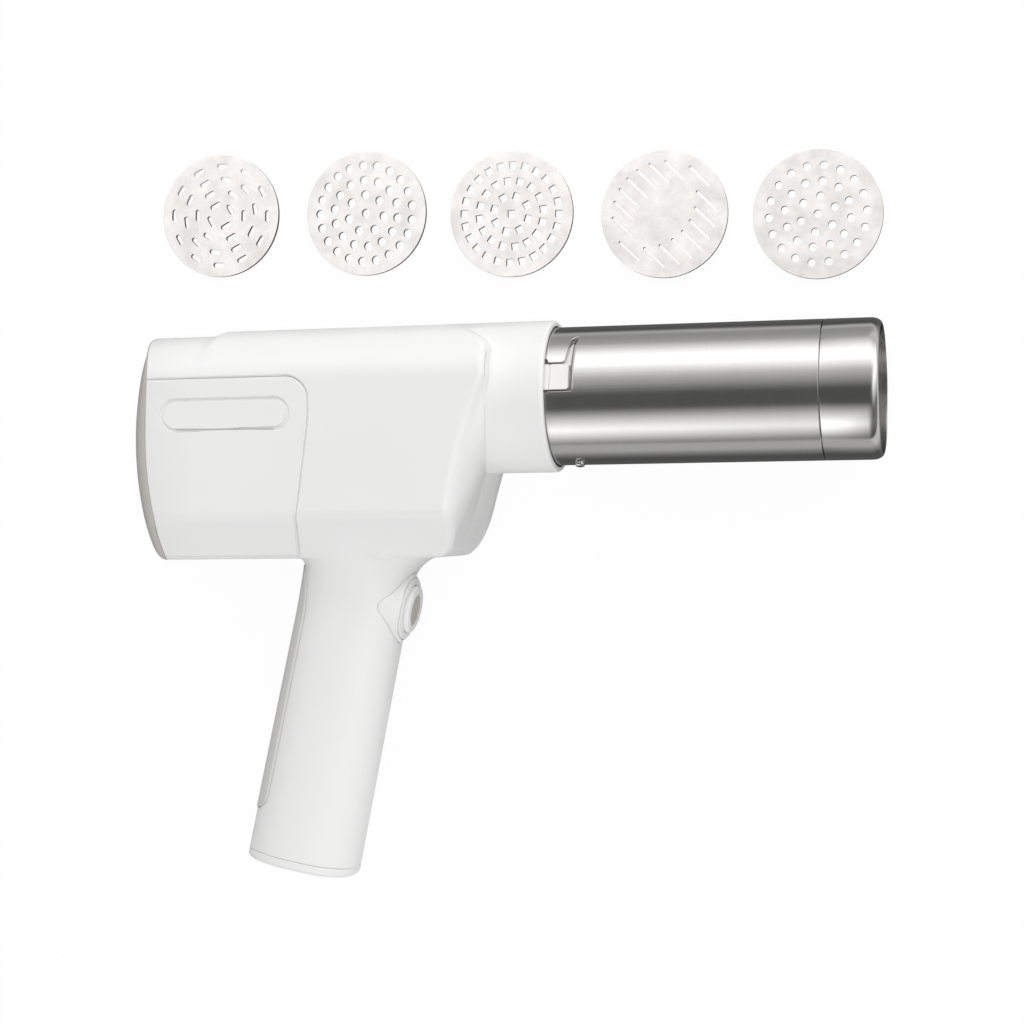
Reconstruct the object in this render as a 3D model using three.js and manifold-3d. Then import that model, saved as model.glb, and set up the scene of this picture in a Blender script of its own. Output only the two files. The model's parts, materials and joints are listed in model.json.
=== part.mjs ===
// Electric pasta maker: a cordless pistol-shaped press with a steel barrel, and its five loose dies.
// Millimetres. X runs along the barrel to the nozzle, Y away from the handle and Z up from the floor.
// The press lies on its left side. Its own frame has the barrel's axis at Y = 0, Z = 0, and X = 0
// where the handle's axis crosses it. The five dies lie on the same floor, in a row beside it.
import * as THREE from "three";
import { mergeVertices } from "three/addons/utils/BufferGeometryUtils.js";
import Module from "manifold-3d";

const wasm = await Module();
wasm.setup();

// Shared clearances and facets
const fit = 0.3;
const overrun = 5;
const roundSides = 32;
const midSides = 20;
const innerSides = 16;
const smallSides = 8;

// Barrel, which sets the radii of all that goes in it and round it
const barrelRadius = 30;
const barrelWall = 2.4;
const barrelBore = barrelRadius - barrelWall;

// Collar round the barrel's foot
const collarWall = 3;
const collarRadius = barrelRadius + collarWall;
const collarFront = 74.7;
const collarRear = 26;
const collarRound = 1.2;

// Housing, seen along the barrel
const collarStep = 0.2;
const collarShoulder = 6;
const housingHalfWidth = collarRadius + collarShoulder;
const housingTop = collarRadius - collarStep;
const housingBottom = 69.2;
const housingWall = 2.5;
const bottomHalfFlat = 24;
const creaseDepth = 50.8;
const sidePanelTop = 8;
const topRoundSteps = 5;

// Housing, seen from the side
const rearCrease = 100.3;
const rearBow = 7.8;
const rearBowPower = 3;
const rearBulge = 12.6;
const rearTopDrop = 2;
const topStepRear = 81;
const topStepFront = 74;
const frontCreaseLow = 33.5;
const frontCreaseLean = 16.5;
const frontCreaseCurve = 1.6;
const frontCornerBack = 6;
const frontCrownStart = 20;
const frontCrownDrop = 22;
const frontBevel = 4;
const frontBevelAhead = 3;
const frontApex = 53;
const sideLevelShares = [0.34, 0.67];

// Rear cap
const rearCapDepth = 4.2;
const rearCapInset = 26;
const rearCapInsetShares = [0, 0.12, 0.34, 0.68, 1];
const rearCapDepthShares = [0, 0.3, 0.62, 0.88, 1];

// Side covers at the rear, and the pill-shaped groove in each
const coverTop = 10;
const coverFrontTop = 27.5;
const coverFrontLow = 33.5;
const coverCorner = 10;
const coverCornerDrop = 19;
const coverCornerSteps = 5;
const coverInnerEdge = 24.8;
const pillLength = 59;
const pillHeight = 14;
const pillCentreX = 65.4;
const pillCentreY = 6;
const pillDepth = 0.8;
const pillGrooveWidth = 1.4;

// Handle
const handleTilt = THREE.MathUtils.degToRad(12.3);
const handleHalfLength = 24.3;
const handleHalfThickness = 21;
const handlePower = 2.5;
const handleSides = 20;
const handleFrontFillet = 11;
const handleRearFillet = 4;
const handleFlareStart = 95;
const handleRootLevel = 54;
const handleRootSpread = housingHalfWidth - housingWall - handleHalfThickness;
const handleRootRise = handleFlareStart - handleRootLevel;
const handleSideFlare = (handleRootSpread ** 2 + handleRootRise ** 2) / (2 * handleRootSpread);
const baseSeam = 199.2;
const baseCapHeight = 7;
const baseTilt = THREE.MathUtils.degToRad(11.4);
const baseRound = 5;
const baseRoundShares = [[0.5, 0], [0.86, 0.32], [1, 1]];
const handleFilletShares = [1, 0.66, 0.3];
const handleFlareShares = [0.225, 0];

// Soft strip along the back of the handle
const stripTop = 81;
const stripLength = 104;
const stripHalfWidth = 13;
const stripDepth = 1.3;
const stripProud = 0.5;
const stripEndSteps = 6;

// Button, its bezel, spring and switch, on an axis square to the handle
const buttonLevel = 91;
const bezelHalfHeight = 17;
const bezelHalfWidth = 21.5;
const bezelBelly = 5;
const bezelTipRadius = 4;
const bezelTipSteps = 3;
const bezelProud = 0.8;
const bezelRingRadius = 14;
const bezelRingFront = 2.6;
const bezelRingDepth = 5;
const buttonRadius = 10.4;
const buttonFront = 6.2;
const buttonRound = 1.5;
const buttonFlangeRadius = 12;
const buttonFlange = 2;
const buttonTravel = 2;
const buttonPlay = 0.4;
const iconRadius = 6.6;
const iconDepth = 1.1;
const iconSunk = 0.3;
const switchLength = 20;
const switchWidth = 10;
const switchDepth = 10;
const plungerRadius = 1.8;
const springRadius = 5;
const springWire = 1;

// Barrel socket: the spigot inside the collar that the barrel slides over, with its key
const spigotRadius = barrelBore - fit;
const spigotSideWall = 3.3;
const spigotBore = spigotRadius - spigotSideWall;
const spigotFront = 85.4;
const spigotWall = 4;
const socketFlangeRear = 47;
const socketFlangeFront = 52;
const keyFrom = THREE.MathUtils.degToRad(2);
const keyTo = THREE.MathUtils.degToRad(25);
const keyFront = 85.1;
const keySteps = 3;

// Barrel with its bayonet slot and stud
const barrelRear = 53;
const barrelShoulder = 190;
const barrelNeckLength = 14;
const neckDrop = 1.3;
const neckRadius = barrelRadius - neckDrop;
const slotFront = 87.2;
const slotReach = THREE.MathUtils.degToRad(55);
const slotWidth = 3.3;
const slotPlay = THREE.MathUtils.degToRad(0.8);
const studRadius = 2.2;
const studProud = 2;
const studX = 84.2;
const studTurn = THREE.MathUtils.degToRad(15);

// Nozzle nut
const nutLength = 24;
const nutWall = 1.1;
const nutBore = barrelRadius - nutWall;
const nutLip = 3;
const nutMouth = barrelRadius - nutLip;
const nutShoulderLength = 4;
const nutShoulderDrop = 2.2;
const nutShoulderSteps = 3;

// Dies
const dieRadius = nutBore - fit;
const dieThickness = 2;
const dieRowX = -94.8;
const dieRowY = 90.9;
const dieRowLength = 279.1;
const dieRowDrop = 11.4;
const dieRowXShares = [0, 0.256, 0.503, 0.755, 1];
const dieRowYShares = [0, 0.175, 0.465, 0.737, 1];
const tangentSlot = { length: 5.5, width: 2.2 };
const roundHole = { radius: 2.05, sides: 6 };
const fineHole = { radius: 1.75, sides: 6 };
const squareHole = { side: 3.4 };
const longSlot = { length: 12.8, width: 1.3 };
const longSlotPitchShare = 0.2;
const longSlotOuterShare = 0.83;
const longSlotRows = 4;
const slotEndSteps = 2;
const fittedHole = { radius: 2.4, sides: 6 };

// Piston and the push rod that carries it
const rodRadius = 9;
const rodFlat = 7.5;
const rodBore = 6;
const rodRear = 112;
const rodArcSteps = 6;
const pistonRear = 86;
const pistonFront = 98;
const pistonRadius = barrelBore - fit;
const pistonHub = 6;
const sealPlay = 0.2;
const sealDepth = 2.3;
const sealRadius = barrelBore - sealPlay;
const sealGroove = pistonRadius - sealDepth;
const sealWidth = 3;

// Drive: planetary gearbox on the motor, and a spur pair to the nut that the rod runs in
const spurModule = 1.875;
const pinionTeeth = 10;
const driveTeeth = 30;
const motorDrop = (spurModule * (pinionTeeth + driveTeeth)) / 2;
const spurWidth = 10;
const bulkheadThickness = 4;
const rearBulkheadX = -12;
const frontBulkheadX = 20;
const nutShoulder = 17;
const driveNutRadius = 14;
const driveNutFront = 25;
const bearingRadius = 19.7;
const pinionShaftRadius = 4;
const pinionBoreRadius = (pinionShaftRadius + fit) / Math.cos(Math.PI / smallSides);
const planetModule = 1.3;
const sunTeeth = 9;
const planetTeeth = 9;
const ringTeeth = 27;
const planetCount = 3;
const planetWidth = 9;
const planetPinRadius = 2;
const carrierRadius = 16;
const carrierThickness = 3;
const gearboxLength = 21;
const gearboxRadius = 21;
const pressureAngle = THREE.MathUtils.degToRad(20);
const addendumShare = 0.8;
const dedendumShare = 1.1;
const playShare = 0.14;

// Motor
const motorRadius = 18.5;
const motorWall = 3;
const motorLength = 55;
const endBellLength = 6;
const armatureRadius = 13;
const armatureLength = 34;
const motorShaftRadius = 1.6;

// Battery, its holder and the control board, in the handle
const cellRadius = 9;
const cellLength = 65;
const cellOffset = 9.6;
const holderHalfLength = 20.2;
const holderHalfWidth = 10.2;
const holderBottom = 191.7;
const holderFloor = 2;
const holderCorner = 3;
const boardLength = 60;
const boardHalfWidth = 15;
const boardThickness = 1.6;
const socketHalfWidth = 4.8;
const socketHalfHeight = 1.9;
const socketLength = 8;
const socketRim = 0.7;

// Screws that hold the two shells together
const bossRadius = 4;
const screwHeadRadius = 2.9;
const screwHeadHeight = 2;
const screwRadius = 1.5;
const screwSeat = 14;
const screwReach = 8;
const housingScrews = [[-86, 20], [35, 22], [28.6, -57]];
const handleScrews = [[-8, -112], [0, -196]];

const whitePlastic = { color: 0xf3f2ef, roughness: 0.42, metalness: 0 };
const greyPlastic = { color: 0xc9c6c0, roughness: 0.5, metalness: 0 };
const darkPlastic = { color: 0x3a3b3d, roughness: 0.6, metalness: 0 };
const softRubber = { color: 0xb9b6b0, roughness: 0.85, metalness: 0 };
const brushedSteel = { color: 0xc4c5c6, roughness: 0.3, metalness: 1 };
const brass = { color: 0xc0a35a, roughness: 0.35, metalness: 1 };
const boardGreen = { color: 0x2f6b45, roughness: 0.6, metalness: 0 };
const cellSleeve = { color: 0x3f6f9e, roughness: 0.5, metalness: 0 };

const alongXBasis = new THREE.Matrix4().makeBasis(
  new THREE.Vector3(0, 1, 0),
  new THREE.Vector3(0, 0, 1),
  new THREE.Vector3(1, 0, 0),
);
const alongYBasis = new THREE.Matrix4().makeBasis(
  new THREE.Vector3(0, 0, 1),
  new THREE.Vector3(1, 0, 0),
  new THREE.Vector3(0, 1, 0),
);

// Turns a closed geometry into a solid whose faces point out
function solid(geometry) {
  geometry.deleteAttribute("normal");
  geometry.deleteAttribute("uv");
  const merged = mergeVertices(geometry);
  const at = merged.getAttribute("position").array;
  const kept = [];
  let volume = 0;
  for (let i = 0; i < merged.index.count; i += 3) {
    const [a, b, c] = merged.index.array.slice(i, i + 3);
    if (a === b || b === c || c === a) continue;
    kept.push(a, b, c);
    const [p, q, r] = [a, b, c].map((k) => new THREE.Vector3().fromArray(at, 3 * k));
    volume += p.dot(q.cross(r));
  }
  if (volume < 0) kept.reverse();
  const triVerts = Uint32Array.from(kept);
  return new wasm.Manifold(new wasm.Mesh({ numProp: 3, vertProperties: at, triVerts }));
}

function geometryOf(body) {
  const mesh = body.getMesh();
  const geometry = new THREE.BufferGeometry();
  geometry.setAttribute("position", new THREE.BufferAttribute(mesh.vertProperties, 3));
  geometry.setIndex(new THREE.BufferAttribute(mesh.triVerts, 1));
  return geometry;
}

function addPiece(parent, name, body, look) {
  const mesh = new THREE.Mesh(geometryOf(body), new THREE.MeshStandardMaterial(look));
  mesh.name = name;
  parent.add(mesh);
  return mesh;
}

// Extrusions along the three axes. A shape's (x, y) is (X, Y), (Y, Z) or (Z, X)
function alongZ(shape, from, to) {
  const geometry = new THREE.ExtrudeGeometry(shape, { depth: to - from, bevelEnabled: false });
  return geometry.translate(0, 0, from);
}

function alongX(shape, from, to) {
  return alongZ(shape, from, to).applyMatrix4(alongXBasis);
}

function alongY(shape, from, to) {
  return alongZ(shape, from, to).applyMatrix4(alongYBasis);
}

// Revolves a closed profile of [x, radius] points about the X axis
function aboutX(profile, sides) {
  const points = [...profile, profile[0]].map(([x, radius]) => new THREE.Vector2(radius, x));
  return new THREE.LatheGeometry(points, sides).rotateZ(-Math.PI / 2);
}

function polygon(radius, sides, x = 0, y = 0, start = 0) {
  return Array.from({ length: sides }, (_, i) => {
    const angle = start + (2 * Math.PI * i) / sides;
    return new THREE.Vector2(x + radius * Math.cos(angle), y + radius * Math.sin(angle));
  });
}

function shapeOf(points, holes = []) {
  const shape = new THREE.Shape(points);
  shape.holes = holes.map((hole) => new THREE.Path(hole));
  return shape;
}

function rectangle(halfWidth, halfHeight, x = 0, y = 0) {
  const corners = [[-1, -1], [1, -1], [1, 1], [-1, 1]];
  return corners.map(([i, j]) => new THREE.Vector2(x + i * halfWidth, y + j * halfHeight));
}

// A long outline with round ends, centred at the origin and lying along x
function stadium(length, width, steps) {
  const radius = width / 2;
  const reach = length / 2 - radius;
  const points = [];
  for (const side of [1, -1]) {
    for (let i = 0; i <= steps; i += 1) {
      const angle = -Math.PI / 2 + (Math.PI * i) / steps;
      points.push(new THREE.Vector2(
        side * (reach + radius * Math.cos(angle)),
        side * radius * Math.sin(angle),
      ));
    }
  }
  return points;
}

function sector(inner, outer, from, to, steps) {
  const points = [];
  for (let i = 0; i <= steps; i += 1) {
    const angle = from + ((to - from) * i) / steps;
    points.push(new THREE.Vector2(outer * Math.sin(angle), outer * Math.cos(angle)));
  }
  for (let i = steps; i >= 0; i -= 1) {
    const angle = from + ((to - from) * i) / steps;
    points.push(new THREE.Vector2(inner * Math.sin(angle), inner * Math.cos(angle)));
  }
  return points;
}

// A closed solid through rings with equal counts of points, with a fan over each end
function loft(rings, endApex) {
  const count = rings[0].length;
  const middle = (ring) => ring.reduce((sum, p) => sum.add(p), new THREE.Vector3()).divideScalar(count);
  const points = [...rings.flat(), middle(rings[0]), endApex ?? middle(rings.at(-1))];
  const first = points.length - 2;
  const last = points.length - 1;
  const index = [];
  for (let i = 0; i < count; i += 1) {
    const next = (i + 1) % count;
    index.push(first, next, i);
    for (let row = 0; row < rings.length - 1; row += 1) {
      const base = row * count;
      const above = base + count;
      index.push(base + i, base + next, above + next, base + i, above + next, above + i);
    }
    const top = (rings.length - 1) * count;
    index.push(last, top + i, top + next);
  }
  const geometry = new THREE.BufferGeometry().setFromPoints(points);
  geometry.setIndex(index);
  return geometry;
}

// Housing section: flat bottom, bevel, flat side panel and round top, as [y, z] from low to high
function housingHalfSection(inset, drop) {
  const half = housingHalfWidth - inset;
  const top = housingTop - inset - drop;
  const crease = -creaseDepth + inset / 3;
  const points = [[-housingBottom + inset, bottomHalfFlat - inset / 3], [crease, half]];
  for (const share of sideLevelShares) {
    points.push([crease + share * (sidePanelTop - crease), half]);
  }
  for (let i = 0; i < topRoundSteps; i += 1) {
    const angle = (Math.PI / 2) * (i / topRoundSteps);
    points.push([
      sidePanelTop + (top - sidePanelTop) * Math.sin(angle),
      half * Math.cos(angle),
    ]);
  }
  return { points, top };
}

function housingSection(inset, drop) {
  const { points, top } = housingHalfSection(inset, drop);
  const mirrored = points.map(([y, z]) => [y, -z]).reverse();
  return [...points, [top, 0], ...mirrored];
}

function housingRing(inset, drop, xAt) {
  return housingSection(inset, drop).map(([y, z]) => new THREE.Vector3(xAt(y, z), y, z));
}

// The crease at the rear bows up and down and bulges across. The one in front leans forward
// towards the collar, and draws back at the bottom corner and over the crown
function rearX(y, z) {
  const middle = (housingTop - housingBottom) / 2;
  const half = (housingTop + housingBottom) / 2;
  const bow = rearBow * Math.abs((y - middle) / half) ** rearBowPower;
  return -rearCrease + bow - rearBulge * (1 - (z / housingHalfWidth) ** 2);
}

function frontX(y) {
  const lean = THREE.MathUtils.clamp((y + creaseDepth) / (sidePanelTop + creaseDepth), 0, 1);
  const corner = Math.max((-creaseDepth - y) / (housingBottom - creaseDepth), 0);
  const crown = Math.max((y - frontCrownStart) / (housingTop - frontCrownStart), 0);
  return frontCreaseLow + frontCreaseLean * lean ** frontCreaseCurve
    - frontCornerBack * corner ** 2 - frontCrownDrop * crown ** 2;
}

function housingOuter() {
  const rings = [
    housingRing(0, rearTopDrop, rearX),
    housingRing(0, rearTopDrop, () => -topStepRear),
    housingRing(0, 0, () => -topStepFront),
    housingRing(0, 0, frontX),
    housingRing(frontBevel, 0, (y) => frontX(y) + frontBevelAhead),
  ];
  return solid(loft(rings, new THREE.Vector3(frontApex, 0, 0))).add(collarOuter());
}

function collarOuter() {
  return solid(aboutX([
    [collarRear, 0],
    [collarRear, collarRadius],
    [collarFront - collarRound, collarRadius],
    [collarFront, collarRadius - collarRound],
    [collarFront, 0],
  ], roundSides));
}

function housingInner() {
  const rings = [
    housingRing(housingWall, rearTopDrop, (y, z) => rearX(y, z) - overrun),
    housingRing(housingWall, rearTopDrop, () => -topStepRear),
    housingRing(housingWall, 0, () => -topStepFront),
    housingRing(housingWall, 0, (y) => frontX(y) - housingWall),
    housingRing(housingWall + frontBevel, 0, (y) => frontX(y) - housingWall + frontBevelAhead),
  ];
  const bore = solid(aboutX([
    [0, 0],
    [0, barrelRadius + fit],
    [collarFront + overrun, barrelRadius + fit],
    [collarFront + overrun, 0],
  ], roundSides));
  return solid(loft(rings)).add(bore);
}

// Handle: upright rings that lean back, wider where they run into the housing
function flare(radius, start, y) {
  const rise = Math.min(Math.max(y + start, 0), radius);
  return radius - Math.sqrt(radius * radius - rise * rise);
}

function handleRing(y, inset, tilt = 0) {
  const front = flare(handleFrontFillet, housingBottom + handleFrontFillet, y);
  const rear = flare(handleRearFillet, housingBottom + handleRearFillet, y);
  const side = flare(handleSideFlare, handleFlareStart, y);
  return handleOutline(y, inset, tilt, front, rear, side);
}

function handleOutline(y, inset, tilt, frontFlare, rearFlare, sideFlare) {
  const centre = y * Math.tan(handleTilt);
  const front = handleHalfLength - inset + frontFlare;
  const rear = handleHalfLength - inset + rearFlare;
  const side = handleHalfThickness - inset + sideFlare;
  const power = 2 / handlePower;
  return Array.from({ length: handleSides }, (_, i) => {
    const angle = (2 * Math.PI * i) / handleSides;
    const along = Math.sign(Math.cos(angle)) * Math.abs(Math.cos(angle)) ** power;
    const across = Math.sign(Math.sin(angle)) * Math.abs(Math.sin(angle)) ** power;
    const x = (along > 0 ? front : rear) * along;
    return new THREE.Vector3(centre + x, y - x * Math.tan(tilt), side * across);
  });
}

function handleLevels() {
  const flareHeight = handleFlareStart - housingBottom;
  return [
    -handleRootLevel,
    -(handleRootLevel + housingBottom) / 2,
    ...handleFilletShares.map((share) => -housingBottom - handleFrontFillet * (1 - share)),
    ...handleFlareShares.map((share) => -handleFlareStart + share * flareHeight),
  ];
}

function handleOuter(inset = 0) {
  const rings = handleLevels().map((y) => handleRing(y, inset));
  rings.push(handleRing(-baseSeam, inset, baseTilt));
  return solid(loft(rings));
}

function handleInner() {
  return solid(loft([
    handleOutline(-handleRootLevel, housingWall, 0, 0, 0, 0),
    handleOutline(-baseSeam - overrun, housingWall, baseTilt, 0, 0, 0),
  ]));
}

// A frame on the handle's front for the button, with x square to the handle's axis
function buttonFrame() {
  const y = -buttonLevel;
  const x = y * Math.tan(handleTilt) + handleHalfLength;
  return new THREE.Matrix4().makeRotationZ(-handleTilt).setPosition(x, y, 0);
}

// The bezel's outline is a diamond, rounded at the two tips that reach across the handle's sides
function bezelOutline(gap) {
  const tip = bezelHalfWidth + gap;
  const half = bezelHalfHeight + gap;
  const belly = (bezelHalfWidth - bezelBelly) / 2 + gap;
  const quarter = (half + bezelBelly) / 2;
  const radius = bezelTipRadius + gap;
  const lean = Math.atan2(quarter, tip - belly);
  const centre = tip - radius / Math.sin(lean);
  const tipArc = (side) => Array.from({ length: bezelTipSteps + 1 }, (_, i) => {
    const angle = (Math.PI / 2 - lean) * (1 - (2 * i) / bezelTipSteps);
    return [side * radius * Math.sin(angle), side * (centre + radius * Math.cos(angle))];
  });
  return [
    [half, 0], [quarter, belly], ...tipArc(1), [-quarter, belly],
    [-half, 0], [-quarter, -belly], ...tipArc(-1), [quarter, -belly],
  ].map(([y, z]) => new THREE.Vector2(y, z));
}

function bezelPrism(gap) {
  const geometry = alongX(shapeOf(bezelOutline(gap)), -bezelHalfWidth, overrun);
  return solid(geometry.applyMatrix4(buttonFrame()));
}

function bezelBore(radius, front) {
  const shape = shapeOf(polygon(radius, midSides));
  return solid(alongX(shape, -bezelHalfWidth, front).applyMatrix4(buttonFrame()));
}

function triggerBezel() {
  const skin = handleOuter(-bezelProud).intersect(bezelPrism(0)).subtract(handleOuter(housingWall));
  const ring = solid(aboutX([
    [-bezelRingDepth, 0],
    [-bezelRingDepth, bezelRingRadius],
    [bezelRingFront - buttonPlay, bezelRingRadius],
    [bezelRingFront, bezelRingRadius - buttonPlay],
    [bezelRingFront, 0],
  ], midSides).applyMatrix4(buttonFrame()));
  const buttonHole = bezelBore(buttonRadius + buttonPlay, overrun);
  const flangeRoom = bezelBore(buttonFlangeRadius + buttonPlay, -bezelRingDepth);
  return skin.add(ring).subtract(buttonHole).subtract(flangeRoom);
}

// The strip's outline runs down the back of the handle, with round ends
function stripPrism(gap) {
  const outline = stadium(stripLength + 2 * gap, 2 * (stripHalfWidth + gap), stripEndSteps);
  const shape = shapeOf(outline.map((p) => new THREE.Vector2(p.x, p.y)));
  const geometry = alongZ(shape, 0, 2 * handleHalfLength).applyMatrix4(
    new THREE.Matrix4().makeBasis(
      new THREE.Vector3(0, -1, 0),
      new THREE.Vector3(0, 0, 1),
      new THREE.Vector3(-1, 0, 0),
    ),
  );
  geometry.translate(0, -stripTop - stripLength / 2, 0).rotateZ(-handleTilt);
  return solid(geometry);
}

function backStrip() {
  return handleOuter(-stripProud).intersect(stripPrism(0)).subtract(handleOuter(stripDepth));
}

// Side cover outline, seen from the side, with the corner at its top front
function coverOutline(gap) {
  const top = coverTop - gap;
  const corner = coverCorner;
  const rear = -rearCrease - rearBulge - overrun;
  const points = [[rear, -housingBottom - overrun], [rear, top]];
  for (let i = 0; i <= coverCornerSteps; i += 1) {
    const angle = (Math.PI / 2) * (1 - i / coverCornerSteps);
    points.push([
      -coverFrontTop - gap - corner + corner * Math.cos(angle),
      top - corner + corner * Math.sin(angle),
    ]);
  }
  points.push([-coverFrontTop - gap, coverTop - coverCornerDrop]);
  points.push([-coverFrontLow - gap, -creaseDepth]);
  points.push([-coverFrontLow - gap, -housingBottom - overrun]);
  return points.map(([x, y]) => new THREE.Vector2(x, y));
}

function coverPrism(side, gap) {
  const inner = coverInnerEdge + gap;
  const outer = housingHalfWidth + overrun;
  const [from, to] = side > 0 ? [inner, outer] : [-outer, -inner];
  return solid(alongZ(shapeOf(coverOutline(gap)), from, to));
}

function pillBlock(side, inset) {
  const floor = housingHalfWidth - pillDepth;
  const [from, to] = side > 0 ? [floor, floor + overrun] : [-floor - overrun, -floor];
  const shape = shapeOf(stadium(pillLength - 2 * inset, pillHeight - 2 * inset, stripEndSteps));
  return solid(alongZ(shape, from, to).translate(-pillCentreX, -pillCentreY, 0));
}

function pillGroove(side) {
  return pillBlock(side, 0).subtract(pillBlock(side, pillGrooveWidth));
}

// Screw places in the press's own frame
function screwPlaces() {
  const turned = handleScrews.map(([x, y]) => [
    x * Math.cos(handleTilt) + y * Math.sin(handleTilt),
    y * Math.cos(handleTilt) - x * Math.sin(handleTilt),
  ]);
  return [...housingScrews, ...turned];
}

function discAlongZ(radius, sides, [x, y], from, to) {
  return solid(alongZ(shapeOf(polygon(radius, sides)), from, to).translate(x, y, 0));
}

// One half of the clamshell, with its screw bosses. Side is 1 on the right and -1 on the left
function shellHalf(side, outer, inner) {
  const reach = housingHalfWidth + overrun;
  const [from, to] = side > 0 ? [fit / 2, reach] : [-reach, -fit / 2];
  const halfSpace = solid(alongZ(shapeOf(rectangle(
    collarFront + rearCrease + rearBulge,
    baseSeam + baseCapHeight + housingTop,
  )), from, to));
  let body = outer.subtract(inner);
  for (const place of screwPlaces()) {
    body = body.add(discAlongZ(bossRadius, smallSides, place, from, to).intersect(outer));
  }
  const shank = screwRadius + fit;
  for (const place of screwPlaces()) {
    body = body.subtract(discAlongZ(shank, smallSides, place, -screwSeat - fit, screwReach + fit));
    body = body.subtract(discAlongZ(screwHeadRadius + fit, smallSides, place, -reach, -screwSeat));
  }
  body = body.intersect(halfSpace);
  body = body.subtract(bezelPrism(fit)).subtract(bezelBore(bezelRingRadius + fit, overrun));
  return body.subtract(coverPrism(side, 0)).subtract(stripPocket());
}

function stripPocket() {
  return handleOuter(-overrun).intersect(stripPrism(fit)).subtract(handleOuter(stripDepth + fit));
}

function sideCover(side, outer, inner) {
  return outer.subtract(inner).intersect(coverPrism(side, fit)).subtract(pillGroove(side));
}

// Rear cap: the housing's section drawn in along a dome
function rearCapRings(inset, behind) {
  return rearCapInsetShares.map((share, i) => {
    const back = behind + rearCapDepthShares[i] * (rearCapDepth - inset);
    const ease = 1 - share;
    const peak = rearCrease + rearBulge;
    const bow = (y, z) => -peak - back + ease * (rearX(y, z) + peak);
    return housingRing(inset + share * rearCapInset, rearTopDrop, bow);
  });
}

function rearCap() {
  const outer = solid(loft(rearCapRings(0, fit)));
  const rings = rearCapRings(housingWall, 0);
  rings.unshift(housingRing(housingWall, rearTopDrop, (y, z) => rearX(y, z) + overrun));
  return outer.subtract(solid(loft(rings)));
}

// Handle base cap: a shallow cup with a rounded rim and a hole for the charging socket
function baseCap() {
  const rings = [handleRing(-baseSeam - fit, 0, baseTilt)];
  for (const [drop, round] of baseRoundShares) {
    rings.push(handleRing(-baseSeam - drop * baseCapHeight, round * baseRound, baseTilt));
  }
  const floor = -baseSeam - baseCapHeight + housingWall;
  const hollow = [
    handleRing(-baseSeam + overrun, housingWall, baseTilt),
    handleRing(floor, housingWall + baseRound / 2, baseTilt),
  ];
  return solid(loft(rings)).subtract(solid(loft(hollow))).subtract(socketBlock(fit, overrun));
}

function socketBlock(gap, below) {
  const outline = rectangle(socketHalfHeight + gap, socketHalfWidth + gap);
  const shape = shapeOf(outline.map((p) => new THREE.Vector2(p.y, p.x)));
  const bottom = -baseSeam - baseCapHeight;
  const geometry = alongY(shape, bottom - below, bottom + socketLength);
  return solid(geometry.translate(bottom * Math.tan(handleTilt), 0, 0));
}

function chargeSocket() {
  const bottom = -baseSeam - baseCapHeight;
  const outline = rectangle(socketHalfHeight - socketRim, socketHalfWidth - socketRim);
  const shape = shapeOf(outline.map((p) => new THREE.Vector2(p.y, p.x)));
  const mouth = alongY(shape, bottom - overrun, bottom + socketLength - 2 * socketRim);
  mouth.translate(bottom * Math.tan(handleTilt), 0, 0);
  return socketBlock(0, 0).subtract(solid(mouth));
}

// Button parts, in the button's frame: x points out of the handle
function powerButton() {
  const rear = -bezelRingDepth - fit;
  const button = aboutX([
    [rear - buttonFlange, 0],
    [rear - buttonFlange, buttonFlangeRadius],
    [rear, buttonFlangeRadius],
    [rear, buttonRadius],
    [buttonFront - buttonRound, buttonRadius],
    [buttonFront - buttonRound / 4, buttonRadius - buttonRound / 2],
    [buttonFront, buttonRadius - buttonRound],
    [buttonFront, iconRadius + fit],
    [buttonFront - iconDepth - iconSunk - fit, iconRadius + fit],
    [buttonFront - iconDepth - iconSunk - fit, 0],
  ], midSides);
  return solid(button);
}

function buttonIcon() {
  const front = buttonFront - iconSunk;
  return solid(aboutX([
    [front - iconDepth, 0],
    [front - iconDepth, iconRadius],
    [front, iconRadius],
    [front, 0],
  ], midSides));
}

function switchFace() {
  return -bezelRingDepth - fit - buttonFlange - 2 * buttonTravel - fit;
}

function microSwitch() {
  const face = switchFace();
  const shape = shapeOf(rectangle(switchLength / 2, switchWidth / 2));
  const box = solid(alongX(shape, face - switchDepth, face));
  const round = shapeOf(polygon(plungerRadius, smallSides));
  return box.add(solid(alongX(round, face - fit, face + buttonTravel - fit)));
}

function buttonSpring() {
  const face = switchFace();
  return solid(aboutX([
    [face + fit, springRadius - springWire],
    [face + fit, springRadius],
    [face + 2 * buttonTravel, springRadius],
    [face + 2 * buttonTravel, springRadius - springWire],
  ], smallSides));
}

// Rod section: a round with two flats that keep it from turning
function rodOutline(gap) {
  const radius = rodRadius + gap;
  const limit = Math.asin((rodFlat + gap) / radius);
  const points = [];
  for (const side of [0, Math.PI]) {
    for (let i = 0; i <= rodArcSteps; i += 1) {
      const angle = side - limit + (2 * limit * i) / rodArcSteps;
      points.push(new THREE.Vector2(radius * Math.cos(angle), radius * Math.sin(angle)));
    }
  }
  return points;
}

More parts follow.
